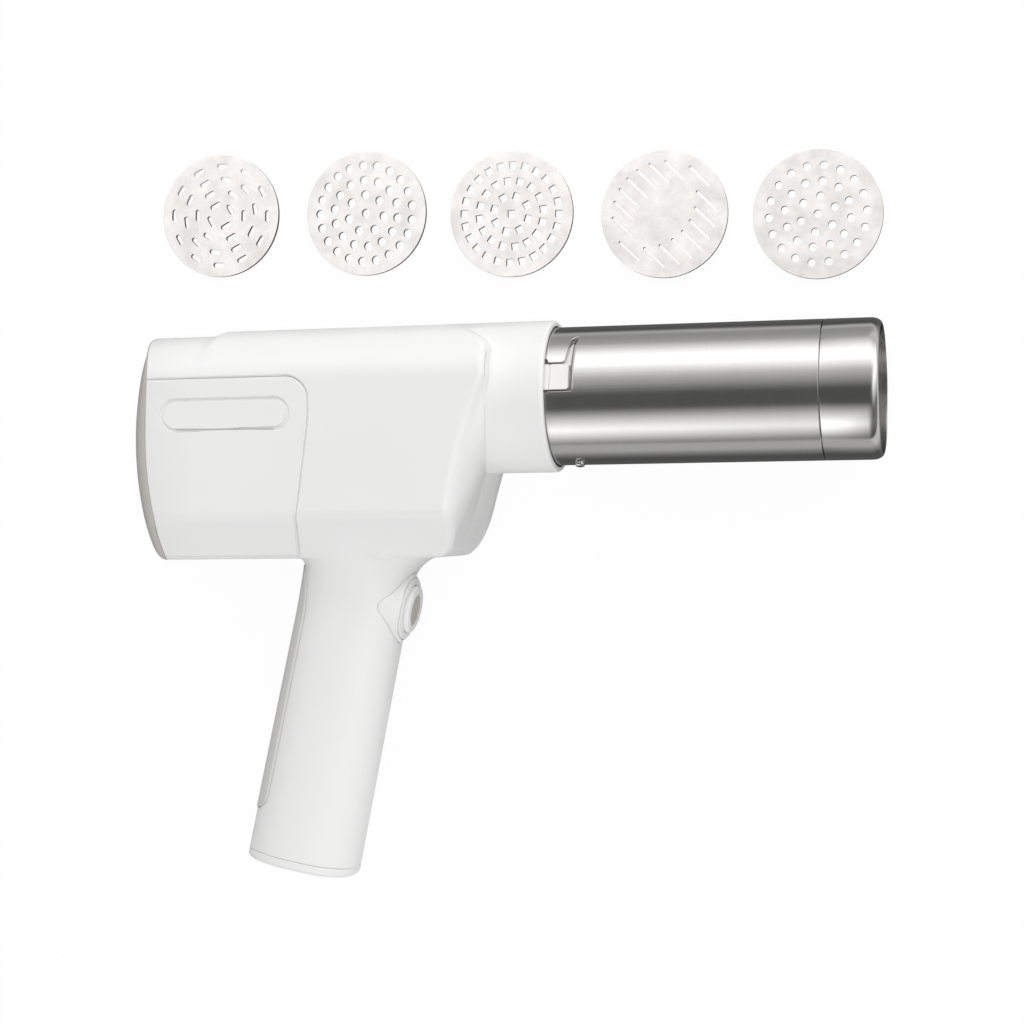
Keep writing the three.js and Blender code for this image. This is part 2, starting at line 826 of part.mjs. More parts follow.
function barrelSocket() {
  const body = solid(aboutX([
    [socketFlangeRear, spigotBore],
    [socketFlangeRear, barrelRadius],
    [socketFlangeFront, barrelRadius],
    [socketFlangeFront, spigotRadius],
    [spigotFront, spigotRadius],
    [spigotFront, 0],
    [spigotFront - spigotWall, 0],
    [spigotFront - spigotWall, spigotBore],
  ], roundSides));
  const key = solid(alongX(
    shapeOf(sector(spigotBore, barrelRadius, keyFrom, keyTo, keySteps)),
    socketFlangeFront - fit,
    keyFront,
  ));
  const wallRear = spigotFront - spigotWall - overrun;
  const hole = solid(alongX(shapeOf(rodOutline(fit)), wallRear, spigotFront + overrun));
  return body.add(key).subtract(hole);
}

function barrelTube() {
  const neckEnd = barrelShoulder + barrelNeckLength;
  const tube = solid(aboutX([
    [barrelRear, barrelBore],
    [barrelRear, barrelRadius],
    [barrelShoulder, barrelRadius],
    [barrelShoulder, neckRadius],
    [neckEnd, neckRadius],
    [neckEnd, barrelBore],
  ], roundSides));
  const inner = barrelBore - overrun;
  const outer = barrelRadius + overrun;
  const leg = solid(alongX(
    shapeOf(sector(inner, outer, keyFrom - slotPlay, keyTo + slotPlay, keySteps)),
    barrelRear - overrun,
    slotFront,
  ));
  const hook = solid(alongX(
    shapeOf(sector(inner, outer, keyFrom, slotReach, keySteps)),
    slotFront - slotWidth,
    slotFront,
  ));
  const seat = barrelStud(fit, barrelBore - overrun);
  return tube.subtract(leg).subtract(hook).subtract(seat);
}

// The stud stands in the barrel's wall, near its lowest line
function barrelStud(gap, foot) {
  const outer = barrelRadius + studProud;
  const radius = studRadius + gap;
  const points = [
    new THREE.Vector2(0, -foot),
    new THREE.Vector2(radius, -foot),
    new THREE.Vector2(radius, -outer + studProud / 2),
    new THREE.Vector2(radius / 2, -outer - gap),
    new THREE.Vector2(0, -outer - gap),
  ];
  const geometry = new THREE.LatheGeometry(points, smallSides).translate(studX, 0, 0);
  return solid(geometry.rotateX(-studTurn));
}

function nozzleNut() {
  const rear = barrelShoulder + fit;
  const front = rear + nutLength;
  const shoulder = [];
  for (let i = 0; i <= nutShoulderSteps; i += 1) {
    const angle = (Math.PI / 2) * (i / nutShoulderSteps);
    shoulder.push([
      front - nutShoulderLength * (1 - Math.sin(angle)),
      barrelRadius - nutShoulderDrop * (1 - Math.cos(angle)),
    ]);
  }
  const seat = fittedDieRear() + dieThickness + fit;
  return solid(aboutX([
    [rear, nutBore],
    [rear, barrelRadius],
    ...shoulder,
    [front, nutMouth],
    [seat, nutMouth],
    [seat, nutBore],
  ], roundSides));
}

function fittedDieRear() {
  return barrelShoulder + barrelNeckLength + fit;
}

// Die patterns: rings of holes as [count, radius share, first angle in degrees from +Y]
const slotDieShares = [[12, 0.81, -3], [10, 0.6, -10], [6, 0.4, 27], [4, 0.19, 28]];
const roundDieShares = [[21, 0.777, 3], [14, 0.535, 3], [7, 0.3, 2], [1, 0, 0]];
const squareDieShares = [[24, 0.775, -2.5], [16, 0.525, 6], [8, 0.287, 27], [1, 0, 0]];
const fineDieShares = [[18, 0.755, 12], [12, 0.512, -9], [6, 0.28, -9], [1, 0, 0]];
const fittedDieShares = [[10, 0.7, 0], [5, 0.34, 15], [1, 0, 0]];

function ringsOfHoles(rings, outline) {
  return rings.flatMap(([count, share, first]) => Array.from({ length: count }, (_, i) => {
    const angle = THREE.MathUtils.degToRad(first) + (2 * Math.PI * i) / count;
    const radius = share * dieRadius;
    const out = new THREE.Vector2(0, radius);
    return outline.map((p) => p.clone().add(out).rotateAround(new THREE.Vector2(), angle));
  }));
}

function parallelSlots() {
  const outline = stadium(longSlot.length, longSlot.width, slotEndSteps);
  const along = THREE.MathUtils.degToRad(-45);
  const holes = [];
  for (let row = -longSlotRows; row <= longSlotRows; row += 1) {
    const offset = row * longSlotPitchShare * dieRadius;
    const outer = Math.sqrt(Math.max((longSlotOuterShare * dieRadius) ** 2 - offset * offset, 0));
    const reach = outer - longSlot.length / 2;
    const places = Math.abs(row) === longSlotRows ? [0] : [-reach, reach];
    for (const place of places) {
      holes.push(outline.map((p) => p.clone().add(new THREE.Vector2(place, offset))
        .rotateAround(new THREE.Vector2(), along)));
    }
  }
  return holes;
}

function dieShape(holes) {
  return shapeOf(polygon(dieRadius, roundSides), holes);
}

function addLooseDies(parent) {
  const hole = (size) => polygon(size.radius, size.sides, 0, 0, Math.PI / size.sides);
  const patterns = [
    ringsOfHoles(slotDieShares, stadium(tangentSlot.length, tangentSlot.width, slotEndSteps)),
    ringsOfHoles(roundDieShares, hole(roundHole)),
    ringsOfHoles(squareDieShares, rectangle(squareHole.side / 2, squareHole.side / 2)),
    parallelSlots(),
    ringsOfHoles(fineDieShares, hole(fineHole)),
  ];
  patterns.forEach((holes, i) => {
    const plate = solid(alongZ(dieShape(holes), 0, dieThickness));
    const die = addPiece(parent, `die_${i + 1}`, plate, brushedSteel);
    die.position.set(
      dieRowX + dieRowXShares[i] * dieRowLength,
      dieRowY - dieRowYShares[i] * dieRowDrop,
      0,
    );
  });
}

// Piston: a disc with a groove for its seal and a socket for the rod's end
function pistonHead() {
  const grooveRear = (pistonRear + pistonFront - sealWidth) / 2 - fit;
  const grooveFront = grooveRear + sealWidth + 2 * fit;
  const body = solid(aboutX([
    [pistonRear, 0],
    [pistonRear, pistonRadius],
    [grooveRear, pistonRadius],
    [grooveRear, sealGroove - fit],
    [grooveFront, sealGroove - fit],
    [grooveFront, pistonRadius],
    [pistonFront, pistonRadius],
    [pistonFront, 0],
  ], roundSides));
  const socket = solid(alongX(shapeOf(rodOutline(fit)), pistonRear - overrun, pistonRear + pistonHub + fit));
  return body.subtract(socket);
}

function pistonSeal() {
  const rear = (pistonRear + pistonFront - sealWidth) / 2;
  return solid(aboutX([
    [rear, sealGroove],
    [rear, sealRadius],
    [rear + sealWidth, sealRadius],
    [rear + sealWidth, sealGroove],
  ], roundSides));
}

function pushRod() {
  const shape = shapeOf(rodOutline(0), [polygon(rodBore, innerSides)]);
  return solid(alongX(shape, -rodRear, pistonRear + pistonHub));
}

// Gear outlines in (Y, Z), with trapezium teeth whose flanks follow an involute at root and tip
function gearOutline(teeth, module, low, high, thicknessShare, firstTooth) {
  const pitchRadius = (module * teeth) / 2;
  const base = pitchRadius * Math.cos(pressureAngle);
  const involute = (angle) => Math.tan(angle) - angle;
  const halfAngle = (radius) => {
    const at = radius > base ? Math.acos(base / radius) : 0;
    return (Math.PI / (2 * teeth)) * thicknessShare + involute(pressureAngle) - involute(at);
  };
  const points = [];
  for (let i = 0; i < teeth; i += 1) {
    const middle = firstTooth + (2 * Math.PI * i) / teeth;
    const corners = [[low, -1], [high, -1], [high, 1], [low, 1]];
    for (const [radius, side] of corners) {
      const angle = middle + side * halfAngle(radius);
      points.push(new THREE.Vector2(radius * Math.cos(angle), radius * Math.sin(angle)));
    }
  }
  return points;
}

function outerGear(teeth, module, firstTooth) {
  const pitchRadius = (module * teeth) / 2;
  const low = pitchRadius - dedendumShare * module;
  const high = pitchRadius + addendumShare * module;
  return gearOutline(teeth, module, low, high, 1 - playShare, firstTooth);
}

function innerGear(teeth, module, firstSpace) {
  const pitchRadius = (module * teeth) / 2;
  const low = pitchRadius - addendumShare * module;
  const high = pitchRadius + dedendumShare * module;
  return gearOutline(teeth, module, low, high, 1 + playShare, firstSpace);
}

function ringPiece(inner, outer, sides, from, to) {
  return solid(alongX(shapeOf(polygon(outer, sides), [polygon(inner, sides)]), from, to));
}

function disc(radius, sides, from, to) {
  return solid(alongX(shapeOf(polygon(radius, sides)), from, to));
}

function bulkhead(from) {
  const outline = housingSection(housingWall + fit, 0).map(([y, z]) => new THREE.Vector2(y, z));
  const holes = [
    polygon(bearingRadius + 2 * fit, innerSides),
    polygon(pinionBoreRadius, smallSides, -motorDrop, 0),
  ];
  return solid(alongX(shapeOf(outline, holes), from, from + bulkheadThickness));
}

function driveNut() {
  const rear = rearBulkheadX;
  const shoulderRear = rearBulkheadX + bulkheadThickness + fit;
  return solid(aboutX([
    [rear, rodRadius + fit],
    [rear, driveNutRadius],
    [shoulderRear, driveNutRadius],
    [shoulderRear, nutShoulder],
    [-fit, nutShoulder],
    [-fit, driveNutRadius],
    [driveNutFront, driveNutRadius],
    [driveNutFront, rodRadius + fit],
  ], innerSides));
}

function driveGear() {
  const shape = shapeOf(
    outerGear(driveTeeth, spurModule, 0),
    [polygon(driveNutRadius + fit, innerSides)],
  );
  return solid(alongX(shape, 0, spurWidth));
}

function outputPinion() {
  const shape = shapeOf(outerGear(pinionTeeth, spurModule, Math.PI / pinionTeeth));
  const gear = solid(alongX(shape, 0, spurWidth));
  const rear = rearBulkheadX - carrierGap();
  return gear.add(disc(pinionShaftRadius, smallSides, rear, frontBulkheadX + bulkheadThickness));
}

function carrierGap() {
  return 2 * fit;
}

function carrierFront() {
  return rearBulkheadX - carrierGap() - fit;
}

function planetRear() {
  return carrierFront() - carrierThickness - fit - planetWidth;
}

function planetSpot(i) {
  const distance = (planetModule * (sunTeeth + planetTeeth)) / 2;
  const angle = (2 * Math.PI * i) / planetCount;
  return [distance * Math.cos(angle), distance * Math.sin(angle)];
}

function planetCarrier() {
  let body = disc(carrierRadius, innerSides, carrierFront() - carrierThickness, carrierFront());
  for (let i = 0; i < planetCount; i += 1) {
    const [y, z] = planetSpot(i);
    const pin = disc(planetPinRadius, smallSides, planetRear(), carrierFront() - fit);
    body = body.add(pin.translate([0, y, z]));
  }
  return body;
}

function planetGear() {
  const shape = shapeOf(
    outerGear(planetTeeth, planetModule, 0),
    [polygon(planetPinRadius + fit, smallSides)],
  );
  return solid(alongX(shape, planetRear(), planetRear() + planetWidth));
}

function sunGear() {
  const shape = shapeOf(outerGear(sunTeeth, planetModule, 0), [polygon(motorShaftRadius + fit, smallSides)]);
  return solid(alongX(shape, planetRear(), planetRear() + planetWidth));
}

function ringGear() {
  const front = rearBulkheadX - fit;
  const shape = shapeOf(
    polygon(gearboxRadius, innerSides),
    [innerGear(ringTeeth, planetModule, 0)],
  );
  return solid(alongX(shape, front - gearboxLength, front));
}

function motorFront() {
  return rearBulkheadX - gearboxLength - 2 * fit;
}

function motorCan() {
  const front = motorFront();
  const rear = front - motorLength;
  return solid(aboutX([
    [rear, motorRadius - motorWall],
    [rear, motorRadius],
    [front, motorRadius],
    [front, motorShaftRadius + fit],
    [front - motorWall, motorShaftRadius + fit],
    [front - motorWall, motorRadius - motorWall],
  ], innerSides));
}

function motorEndBell() {
  const front = motorFront() - motorLength - fit;
  return solid(aboutX([
    [front - endBellLength, 0],
    [front - endBellLength, motorRadius],
    [front, motorRadius],
    [front, motorShaftRadius + fit],
    [front - endBellLength / 2, motorShaftRadius + fit],
    [front - endBellLength / 2, 0],
  ], innerSides));
}

function motorRotor() {
  const canFront = motorFront();
  const bell = canFront - motorLength;
  const middle = canFront - motorLength / 2;
  const shaftRear = bell - endBellLength / 2;
  return disc(armatureRadius, innerSides, middle - armatureLength / 2, middle + armatureLength / 2)
    .add(disc(motorShaftRadius, smallSides, shaftRear, planetRear() + planetWidth));
}

// Battery pieces in the handle's frame: y runs up the handle's axis
function batteryHolder() {
  const corner = new THREE.Shape();
  const [halfZ, halfX, round] = [holderHalfWidth, holderHalfLength, holderCorner];
  corner.moveTo(-halfZ + round, -halfX);
  corner.lineTo(halfZ - round, -halfX);
  corner.lineTo(halfZ, -halfX + round);
  corner.lineTo(halfZ, halfX - round);
  corner.lineTo(halfZ - round, halfX);
  corner.lineTo(-halfZ + round, halfX);
  corner.lineTo(-halfZ, halfX - round);
  corner.lineTo(-halfZ, -halfX + round);
  const top = -holderBottom + holderFloor + cellLength + holderFloor;
  let body = solid(alongY(corner, -holderBottom, top));
  const bore = shapeOf(polygon(cellRadius + fit, innerSides));
  for (const side of [-1, 1]) {
    const room = alongY(bore, -holderBottom + holderFloor, top + overrun);
    body = body.subtract(solid(room.translate(side * cellOffset, 0, 0)));
  }
  return body;
}

function batteryCell() {
  const foot = -holderBottom + holderFloor + fit;
  return solid(alongY(shapeOf(polygon(cellRadius, innerSides)), foot, foot + cellLength));
}

function controlBoard() {
  const foot = -holderBottom + holderFloor;
  const top = -holderHalfWidth - fit;
  const shape = shapeOf(rectangle(boardThickness / 2, boardHalfWidth));
  return solid(alongY(shape, foot, foot + boardLength).translate(0, 0, top - boardThickness / 2));
}

function shellScrew([x, y]) {
  const head = -screwSeat - fit;
  return discAlongZ(screwHeadRadius, smallSides, [x, y], head - screwHeadHeight, head)
    .add(discAlongZ(screwRadius, smallSides, [x, y], head - fit, screwReach));
}

function addCasing(gun) {
  const outer = housingOuter().add(handleOuter());
  const inner = housingInner().add(handleInner());
  addPiece(gun, "right_shell", shellHalf(1, outer, inner), whitePlastic);
  addPiece(gun, "left_shell", shellHalf(-1, outer, inner), whitePlastic);
  addPiece(gun, "right_side_cover", sideCover(1, outer, inner), whitePlastic);
  addPiece(gun, "left_side_cover", sideCover(-1, outer, inner), whitePlastic);
  addPiece(gun, "rear_cap", rearCap(), greyPlastic);
  addPiece(gun, "handle_base_cap", baseCap(), whitePlastic);
  addPiece(gun, "handle_back_strip", backStrip(), softRubber);
  addPiece(gun, "charge_socket", chargeSocket(), darkPlastic);
  addPiece(gun, "trigger_bezel", triggerBezel(), whitePlastic);
  screwPlaces().forEach((place, i) => {
    addPiece(gun, `shell_screw_${i + 1}`, shellScrew(place), brushedSteel);
  });
}

function addButton(gun) {
  const button = new THREE.Group();
  button.applyMatrix4(buttonFrame());
  addPiece(button, "power_button", powerButton(), whitePlastic);
  addPiece(button, "button_icon", buttonIcon(), greyPlastic);
  addPiece(button, "button_spring", buttonSpring(), brushedSteel);
  addPiece(button, "micro_switch", microSwitch(), darkPlastic);
  gun.add(button);
}

function addBarrel(gun) {
  addPiece(gun, "barrel_socket", barrelSocket(), whitePlastic);
  addPiece(gun, "barrel_tube", barrelTube(), brushedSteel);
  addPiece(gun, "barrel_stud", barrelStud(0, barrelBore + fit), brushedSteel);
  addPiece(gun, "nozzle_nut", nozzleNut(), brushedSteel);
  const hole = polygon(fittedHole.radius, fittedHole.sides);
  const holes = ringsOfHoles(fittedDieShares, hole);
  const rear = fittedDieRear();
  addPiece(gun, "fitted_die", solid(alongX(dieShape(holes), rear, rear + dieThickness)), brushedSteel);
}

function addDrive(gun) {
  addPiece(gun, "piston_head", pistonHead(), whitePlastic);
  addPiece(gun, "piston_seal", pistonSeal(), softRubber);
  addPiece(gun, "push_rod", pushRod(), darkPlastic);
  addPiece(gun, "drive_nut", driveNut(), brass);
  addPiece(gun, "drive_gear", driveGear(), darkPlastic);
  for (const [name, x] of [["rear", rearBulkheadX], ["front", frontBulkheadX]]) {
    addPiece(gun, `${name}_bulkhead`, bulkhead(x), darkPlastic);
    const bearing = ringPiece(driveNutRadius + fit, bearingRadius, innerSides, x, x + bulkheadThickness);
    addPiece(gun, `${name}_bearing`, bearing, brushedSteel);
  }
  const motor = new THREE.Group();
  motor.position.y = -motorDrop;
  addPiece(motor, "output_pinion", outputPinion(), brushedSteel);
  addPiece(motor, "planet_carrier", planetCarrier(), brushedSteel);
  for (let i = 0; i < planetCount; i += 1) {
    const [y, z] = planetSpot(i);
    addPiece(motor, `planet_gear_${i + 1}`, planetGear(), brass).position.set(0, y, z);
  }
  addPiece(motor, "sun_gear", sunGear(), brass);
  addPiece(motor, "ring_gear", ringGear(), brushedSteel);
  addPiece(motor, "motor_can", motorCan(), brushedSteel);
  addPiece(motor, "motor_end_bell", motorEndBell(), darkPlastic);
  addPiece(motor, "motor_rotor", motorRotor(), brushedSteel);
  gun.add(motor);
}

function addBattery(gun) {
  const handle = new THREE.Group();
  handle.rotation.z = -handleTilt;
  addPiece(handle, "battery_holder", batteryHolder(), darkPlastic);
  [-1, 1].forEach((side, i) => {
    addPiece(handle, `battery_cell_${i + 1}`, batteryCell(), cellSleeve).position.x = side * cellOffset;
  });
  addPiece(handle, "control_board", controlBoard(), boardGreen);
  gun.add(handle);
}

const pastaMaker = new THREE.Group();
const gun = new THREE.Group();
gun.position.z = housingHalfWidth;
addCasing(gun);
addButton(gun);
addBarrel(gun);
addDrive(gun);
addBattery(gun);
pastaMaker.add(gun);
addLooseDies(pastaMaker);

export default pastaMaker;
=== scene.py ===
# Surfaces, finishes and stage for a pistol-shaped electric pasta maker and its five loose dies.
# Lengths in the shape code are millimetres in the press's own frame: X along the barrel to the
# nozzle, Y up through the housing, Z out of its right side, with the barrel's axis at Y = Z = 0.
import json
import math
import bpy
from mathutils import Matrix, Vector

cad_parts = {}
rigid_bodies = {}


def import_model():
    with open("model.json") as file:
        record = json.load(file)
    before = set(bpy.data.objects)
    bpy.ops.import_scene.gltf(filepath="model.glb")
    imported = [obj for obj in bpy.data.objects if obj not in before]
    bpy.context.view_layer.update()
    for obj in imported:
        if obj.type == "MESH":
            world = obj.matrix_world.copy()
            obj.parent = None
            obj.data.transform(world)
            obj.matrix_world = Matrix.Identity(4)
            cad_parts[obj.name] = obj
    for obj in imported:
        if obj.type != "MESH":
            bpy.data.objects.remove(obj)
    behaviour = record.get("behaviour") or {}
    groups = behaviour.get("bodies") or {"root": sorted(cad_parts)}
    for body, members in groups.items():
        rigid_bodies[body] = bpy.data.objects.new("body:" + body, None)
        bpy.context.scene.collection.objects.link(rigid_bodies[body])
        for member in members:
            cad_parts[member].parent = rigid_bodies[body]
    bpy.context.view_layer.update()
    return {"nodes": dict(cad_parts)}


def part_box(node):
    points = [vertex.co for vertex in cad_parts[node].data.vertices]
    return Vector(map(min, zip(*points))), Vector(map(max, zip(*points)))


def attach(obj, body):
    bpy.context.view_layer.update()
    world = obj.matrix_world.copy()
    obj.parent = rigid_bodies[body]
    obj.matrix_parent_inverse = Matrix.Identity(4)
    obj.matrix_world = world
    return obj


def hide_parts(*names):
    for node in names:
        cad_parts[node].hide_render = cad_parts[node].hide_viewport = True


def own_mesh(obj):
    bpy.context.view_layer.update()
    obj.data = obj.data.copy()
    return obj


bl_info = {
    "name": "Electric Pasta Maker",
    "version": (1, 0, 0),
    "blender": (4, 5, 0),
    "location": "3D View > Sidebar > Pasta Maker",
    "description": "Dresses the solid parts of a cordless pasta press and sets its stage",
    "category": "Add Mesh",
}

import bmesh
import bpy
import numpy as np
from mathutils import Matrix, Vector

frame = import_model()
MM = 0.001
PRESS_Z = (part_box("right_side_cover")[1].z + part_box("left_side_cover")[0].z) / 2
WHITE = (1.0, 1.0, 1.0, 1.0)


# Sizes of the real press, in millimetres

FIT = 0.3
OVERRUN = 5.0

BARREL_RADIUS = 30.0
BARREL_BORE = 27.6
COLLAR_RADIUS = 33.0
COLLAR_FRONT = 74.7
COLLAR_REAR = 26.0
COLLAR_ROUND = 1.8
MOUTH_DEPTH = 3.0
MOUTH_PLAY = 0.7

HALF_WIDTH = 39.0
TOP = 32.8
BOTTOM = 69.2
WALL = 2.5
BOTTOM_FLAT = 24.0
CREASE = 50.8
PANEL_TOP = 8.0
REAR_CREASE = 102.1
REAR_BOW = 8.9
REAR_BOW_TOP = 3.0
REAR_BULGE = 9.4
REAR_EDGE = 0.7
REAR_TOP_DROP = 2.0
STEP_REAR = 81.0
STEP_FRONT = 74.0
FRONT_LOW = 33.5
FRONT_LEAN = 16.5
LEAN_POWER = 1.6
FRONT_CORNER = 6.0
FRONT_BEVEL = 4.0
FRONT_BEVEL_AHEAD = 3.4
FRONT_BEVEL_TOP = 0.9
BEVEL_FADE_FROM = 13.0
BEVEL_FADE = 28.0
BEVEL_LOW = 30.0
BEVEL_LOW_FADE = 25.0
BEVEL_LOW_DROP = 1.3
ROOT_RINGS = [(34.7, 47.6), (33.8, 48.2), (32.2, 48.9)]
ROOT_END = 52.0
ROOT_LEAN = 0.24
ROOT_LEAN_FROM = 28.0
ROOT_GAP = 1.2
ROOT_AHEAD = 0.3
CROWN_START = 20.0
CROWN_DROP = 22.0
CAP_DEPTH = 4.1
CAP_INSET = 6.0
CAP_DOME = 0.9
FAR_REAR = REAR_CREASE + REAR_BULGE + OVERRUN

COVER_TOP = 10.0
COVER_FRONT = 27.5
COVER_LOW = 33.5
COVER_CORNER = 10.0
COVER_BEND = 9.0
COVER_BEND_REACH = 8.0
COVER_LEAN = 4.2
COVER_INNER = 24.8
PILL_LENGTH = 59.0
PILL_WIDTH = 14.0
PILL_MIDDLE = (-65.4, -6.0)

HANDLE_TILT = math.radians(12.3)
HANDLE_LENGTH = 24.3
HANDLE_THICKNESS = 21.0
HANDLE_POWER = 2.5
FRONT_FILLET = 11.0
REAR_FILLET = 4.0
FLARE_START = 95.0
ROOT_LEVEL = 54.0
ROOT_SPREAD = HALF_WIDTH - WALL - HANDLE_THICKNESS
ROOT_RISE = FLARE_START - ROOT_LEVEL
SIDE_FLARE = (ROOT_SPREAD**2 + ROOT_RISE**2) / (2 * ROOT_SPREAD)
BASE_SEAM = 201.8
BASE_HEIGHT = 4.4
BASE_TILT = math.radians(11.4)
BASE_ROUND = 2.3
STRIP_TOP = 79.0
STRIP_HALF_LENGTH = 55.0
STRIP_HALF_WIDTH = 17.0
STRIP_CORNER = 8.0
STRIP_DEPTH = 1.3
STRIP_PROUD = 0.5
PORT_LENGTH = 9.6
PORT_HALF_WIDTH = 1.9
PORT_WALL = 0.7
PORT_DEPTH = 8.0

BUTTON_LEVEL = 91.8
RING_RADIUS = 14.0
RING_FRONT = 2.2
RING_DEPTH = 5.0
BEZEL_TALL = 17.0
BEZEL_WIDE = 19.4
BEZEL_SHOULDER = (11.8, 9.6)
BEZEL_DEPTH = 21.5
BEZEL_RISE = 1.1
BUTTON_RADIUS = 10.4
BUTTON_FRONT = 4.8
FLANGE_RADIUS = 12.0
FLANGE = 2.0
BUTTON_TRAVEL = 2.0
SPRING_RADIUS = 4.6
SPRING_WIRE = 0.35
SPRING_TURNS = 3
ICON_RADIUS = 6.6
ICON_DEPTH = 1.1
ICON_SUNK = 0.3

SPIGOT_RADIUS = 27.3
SPIGOT_BORE = 24.0
SPIGOT_FRONT = 85.4
SOCKET_REAR = 47.0
SOCKET_FLANGE = 52.0
KEY_FROM, KEY_TO = math.radians(2), math.radians(25)
KEY_FRONT = 85.1
KEY_STEP = 76.6
KEY_STEP_WIDTH = 0.6
ROD_HOLE = 9.3
ROD_FLAT = 7.8
BARREL_REAR = 53.0
SHOULDER = 190.0
NECK_LENGTH = 14.0
NECK_RADIUS = 28.7
THREAD_PITCH = 3.0
SLOT_FRONT = 87.2
SLOT_REACH = math.radians(55)
SLOT_PLAY = math.radians(0.8)
STUD_X = 85.4
STUD_TURN = math.radians(15)
STUD_RADIUS = 2.2
STUD_PROUD = 2.0
NUT_LENGTH = 24.0
NUT_BORE = 28.9
NUT_MOUTH = 27.0
NUT_ROUND = 4.6
NUT_DROP = 2.8

DIE_RADIUS = 28.6
DIE_THICKNESS = 2.0
LONG_SLOT_MIDDLE = 6.4
FITTED_DIE_REAR = SHOULDER + NECK_LENGTH + FIT

BOSS_RADIUS = 4.0
SCREW_RADIUS = 1.5
SCREW_HOLE = 1.8
SCREW_SEAT = 14.0
SCREW_LENGTH = 22.3
SCREW_WELL = 3.2
SCREW_HEAD = 2.9
SCREW_CROSS = (2.9, 0.7)


# What a user may change


def length(name, description, millimetres, smallest=0.0):
    return bpy.props.FloatProperty(
        name=name,
        description=description,
        default=millimetres * MM,
        min=smallest,
        unit="LENGTH",
        subtype="DISTANCE",
        precision=5,
    )


def colour(name, description, value):
    return bpy.props.FloatVectorProperty(
        name=name,
        description=description,
        default=value,
        size=4,
        min=0.0,
        max=1.0,
        subtype="COLOR",
    )


def share(name, description, value, most=1.0):
    return bpy.props.FloatProperty(
        name=name, description=description, default=value, min=0.0, max=most, subtype="FACTOR"
    )


class PressSizes(bpy.types.PropertyGroup):
    crease_softness: length("Crease softness", "How far the front crease is rounded", 2.5)
    corner_softness: length("Corner softness", "How far the lower creases are rounded", 2.6)
    seam_gap: length("Seam gap", "Clear gap between two housing pieces", 0.12)
    groove_radius: length("Seam groove", "Radius of the soft groove along the cover's seam", 0.8)
    pill_groove_radius: length("Pill groove", "Radius of the groove of the pill outline", 0.85)
    bezel_rise: length("Bezel rise", "How far the bezel swells towards the button", BEZEL_RISE)
    thread_depth: length("Thread depth", "Depth of the thread under the nozzle nut", 0.45)


class PressColours(bpy.types.PropertyGroup):
    body: colour("Housing", "Satin white housing", (0.83, 0.83, 0.825, 1))
    # The rear cap's darker warm grey is painted shade, standing in for the shade at the rear end.
    cap: colour("Rear cap", "Warm grey rear cap", (0.5, 0.475, 0.45, 1))
    grip: colour("Grip strip", "Soft strip on the handle", (0.66, 0.655, 0.645, 1))
    spigot: colour("Spigot", "Off-white barrel socket", (0.84, 0.83, 0.81, 1))
    icon: colour("Button inset", "Grey inset in the button", (0.48, 0.455, 0.43, 1))
    steel: colour("Barrel steel", "Brushed stainless steel", (0.64, 0.635, 0.625, 1))
    die_steel: colour("Die steel", "Pressed steel of the dies", (0.8, 0.775, 0.755, 1))


class StageLevels(bpy.types.PropertyGroup):
    soft: share("Soft light", "Level of the broad lights that matt surfaces gather", 1.0, 4.0)
    overhead: share("Overhead", "Power in watts of the broad light over the dies", 5.0, 100.0)
    floor_glow: share("Floor glow", "How much of the seen floor shines by itself", 0.96)
    reflections: share("Reflections", "Level of the strips that metal reflects", 1.0, 4.0)


# Mesh helpers


def unit(vectors):
    return vectors / np.maximum(np.linalg.norm(vectors, axis=-1, keepdims=True), 1e-9)


def clamp(value):
    return min(max(value, 0), 1)


def soft_step(t):
    """Rises from 0 to 1 with no slope at either end."""
    return clamp(t) ** 2 * (3 - 2 * clamp(t))


def rectangle(width, height):
    x, y = width / 2, height / 2
    return [(-x, -y), (x, -y), (x, y), (-x, y)]


def band(low, high, inner, outer):
    """A rectangle between two places on an axis and two radii or angles."""
    return [(low, inner), (low, outer), (high, outer), (high, inner)]


def arc(start, end, count):
    """Angles in degrees from start to end, in radians."""
    return np.radians(np.linspace(start, end, count))


def soften(points, reaches, steps=6, closed=False, loop=0.15):
    """Rounds the corners of a line of points, or of a row of whole rings, by its reach at each."""
    points = [np.asarray(point, float) for point in points]
    count = len(points)
    softened = []
    for i, (here, reach) in enumerate(zip(points, reaches)):
        if not reach or (not closed and i in (0, count - 1)):
            softened.append(here)
            continue
        back = unit(points[i - 1] - here)
        ahead = unit(points[(i + 1) % count] - here)
        if loop:
            softened.append(here + back * (reach + loop))
        for step in range(steps + 1):
            t = step / steps
            start, end = here + back * reach, here + ahead * reach
            softened.append((1 - t) ** 2 * start + 2 * t * (1 - t) * here + t * t * end)
        if loop:
            softened.append(here + ahead * (reach + loop))
    return softened


def loft(rings, start=None, end=None):
    """A closed solid through rings with equal counts of points, with a fan over each end."""
    rings = np.asarray(rings, float)
    rows, count = rings.shape[:2]
    start = rings[0].mean(0) if start is None else np.asarray(start, float)
    end = rings[-1].mean(0) if end is None else np.asarray(end, float)
    points = np.vstack([rings.reshape(-1, 3), start, end])
    first, last = len(points) - 2, len(points) - 1
    faces = []
    for i in range(count):
        after = (i + 1) % count
        faces.append((first, after, i))
        faces.append((last, (rows - 1) * count + i, (rows - 1) * count + after))
        for row in range(rows - 1):
            low, high = row * count, (row + 1) * count
            faces.append((low + i, low + after, high + after, high + i))
    return points, faces


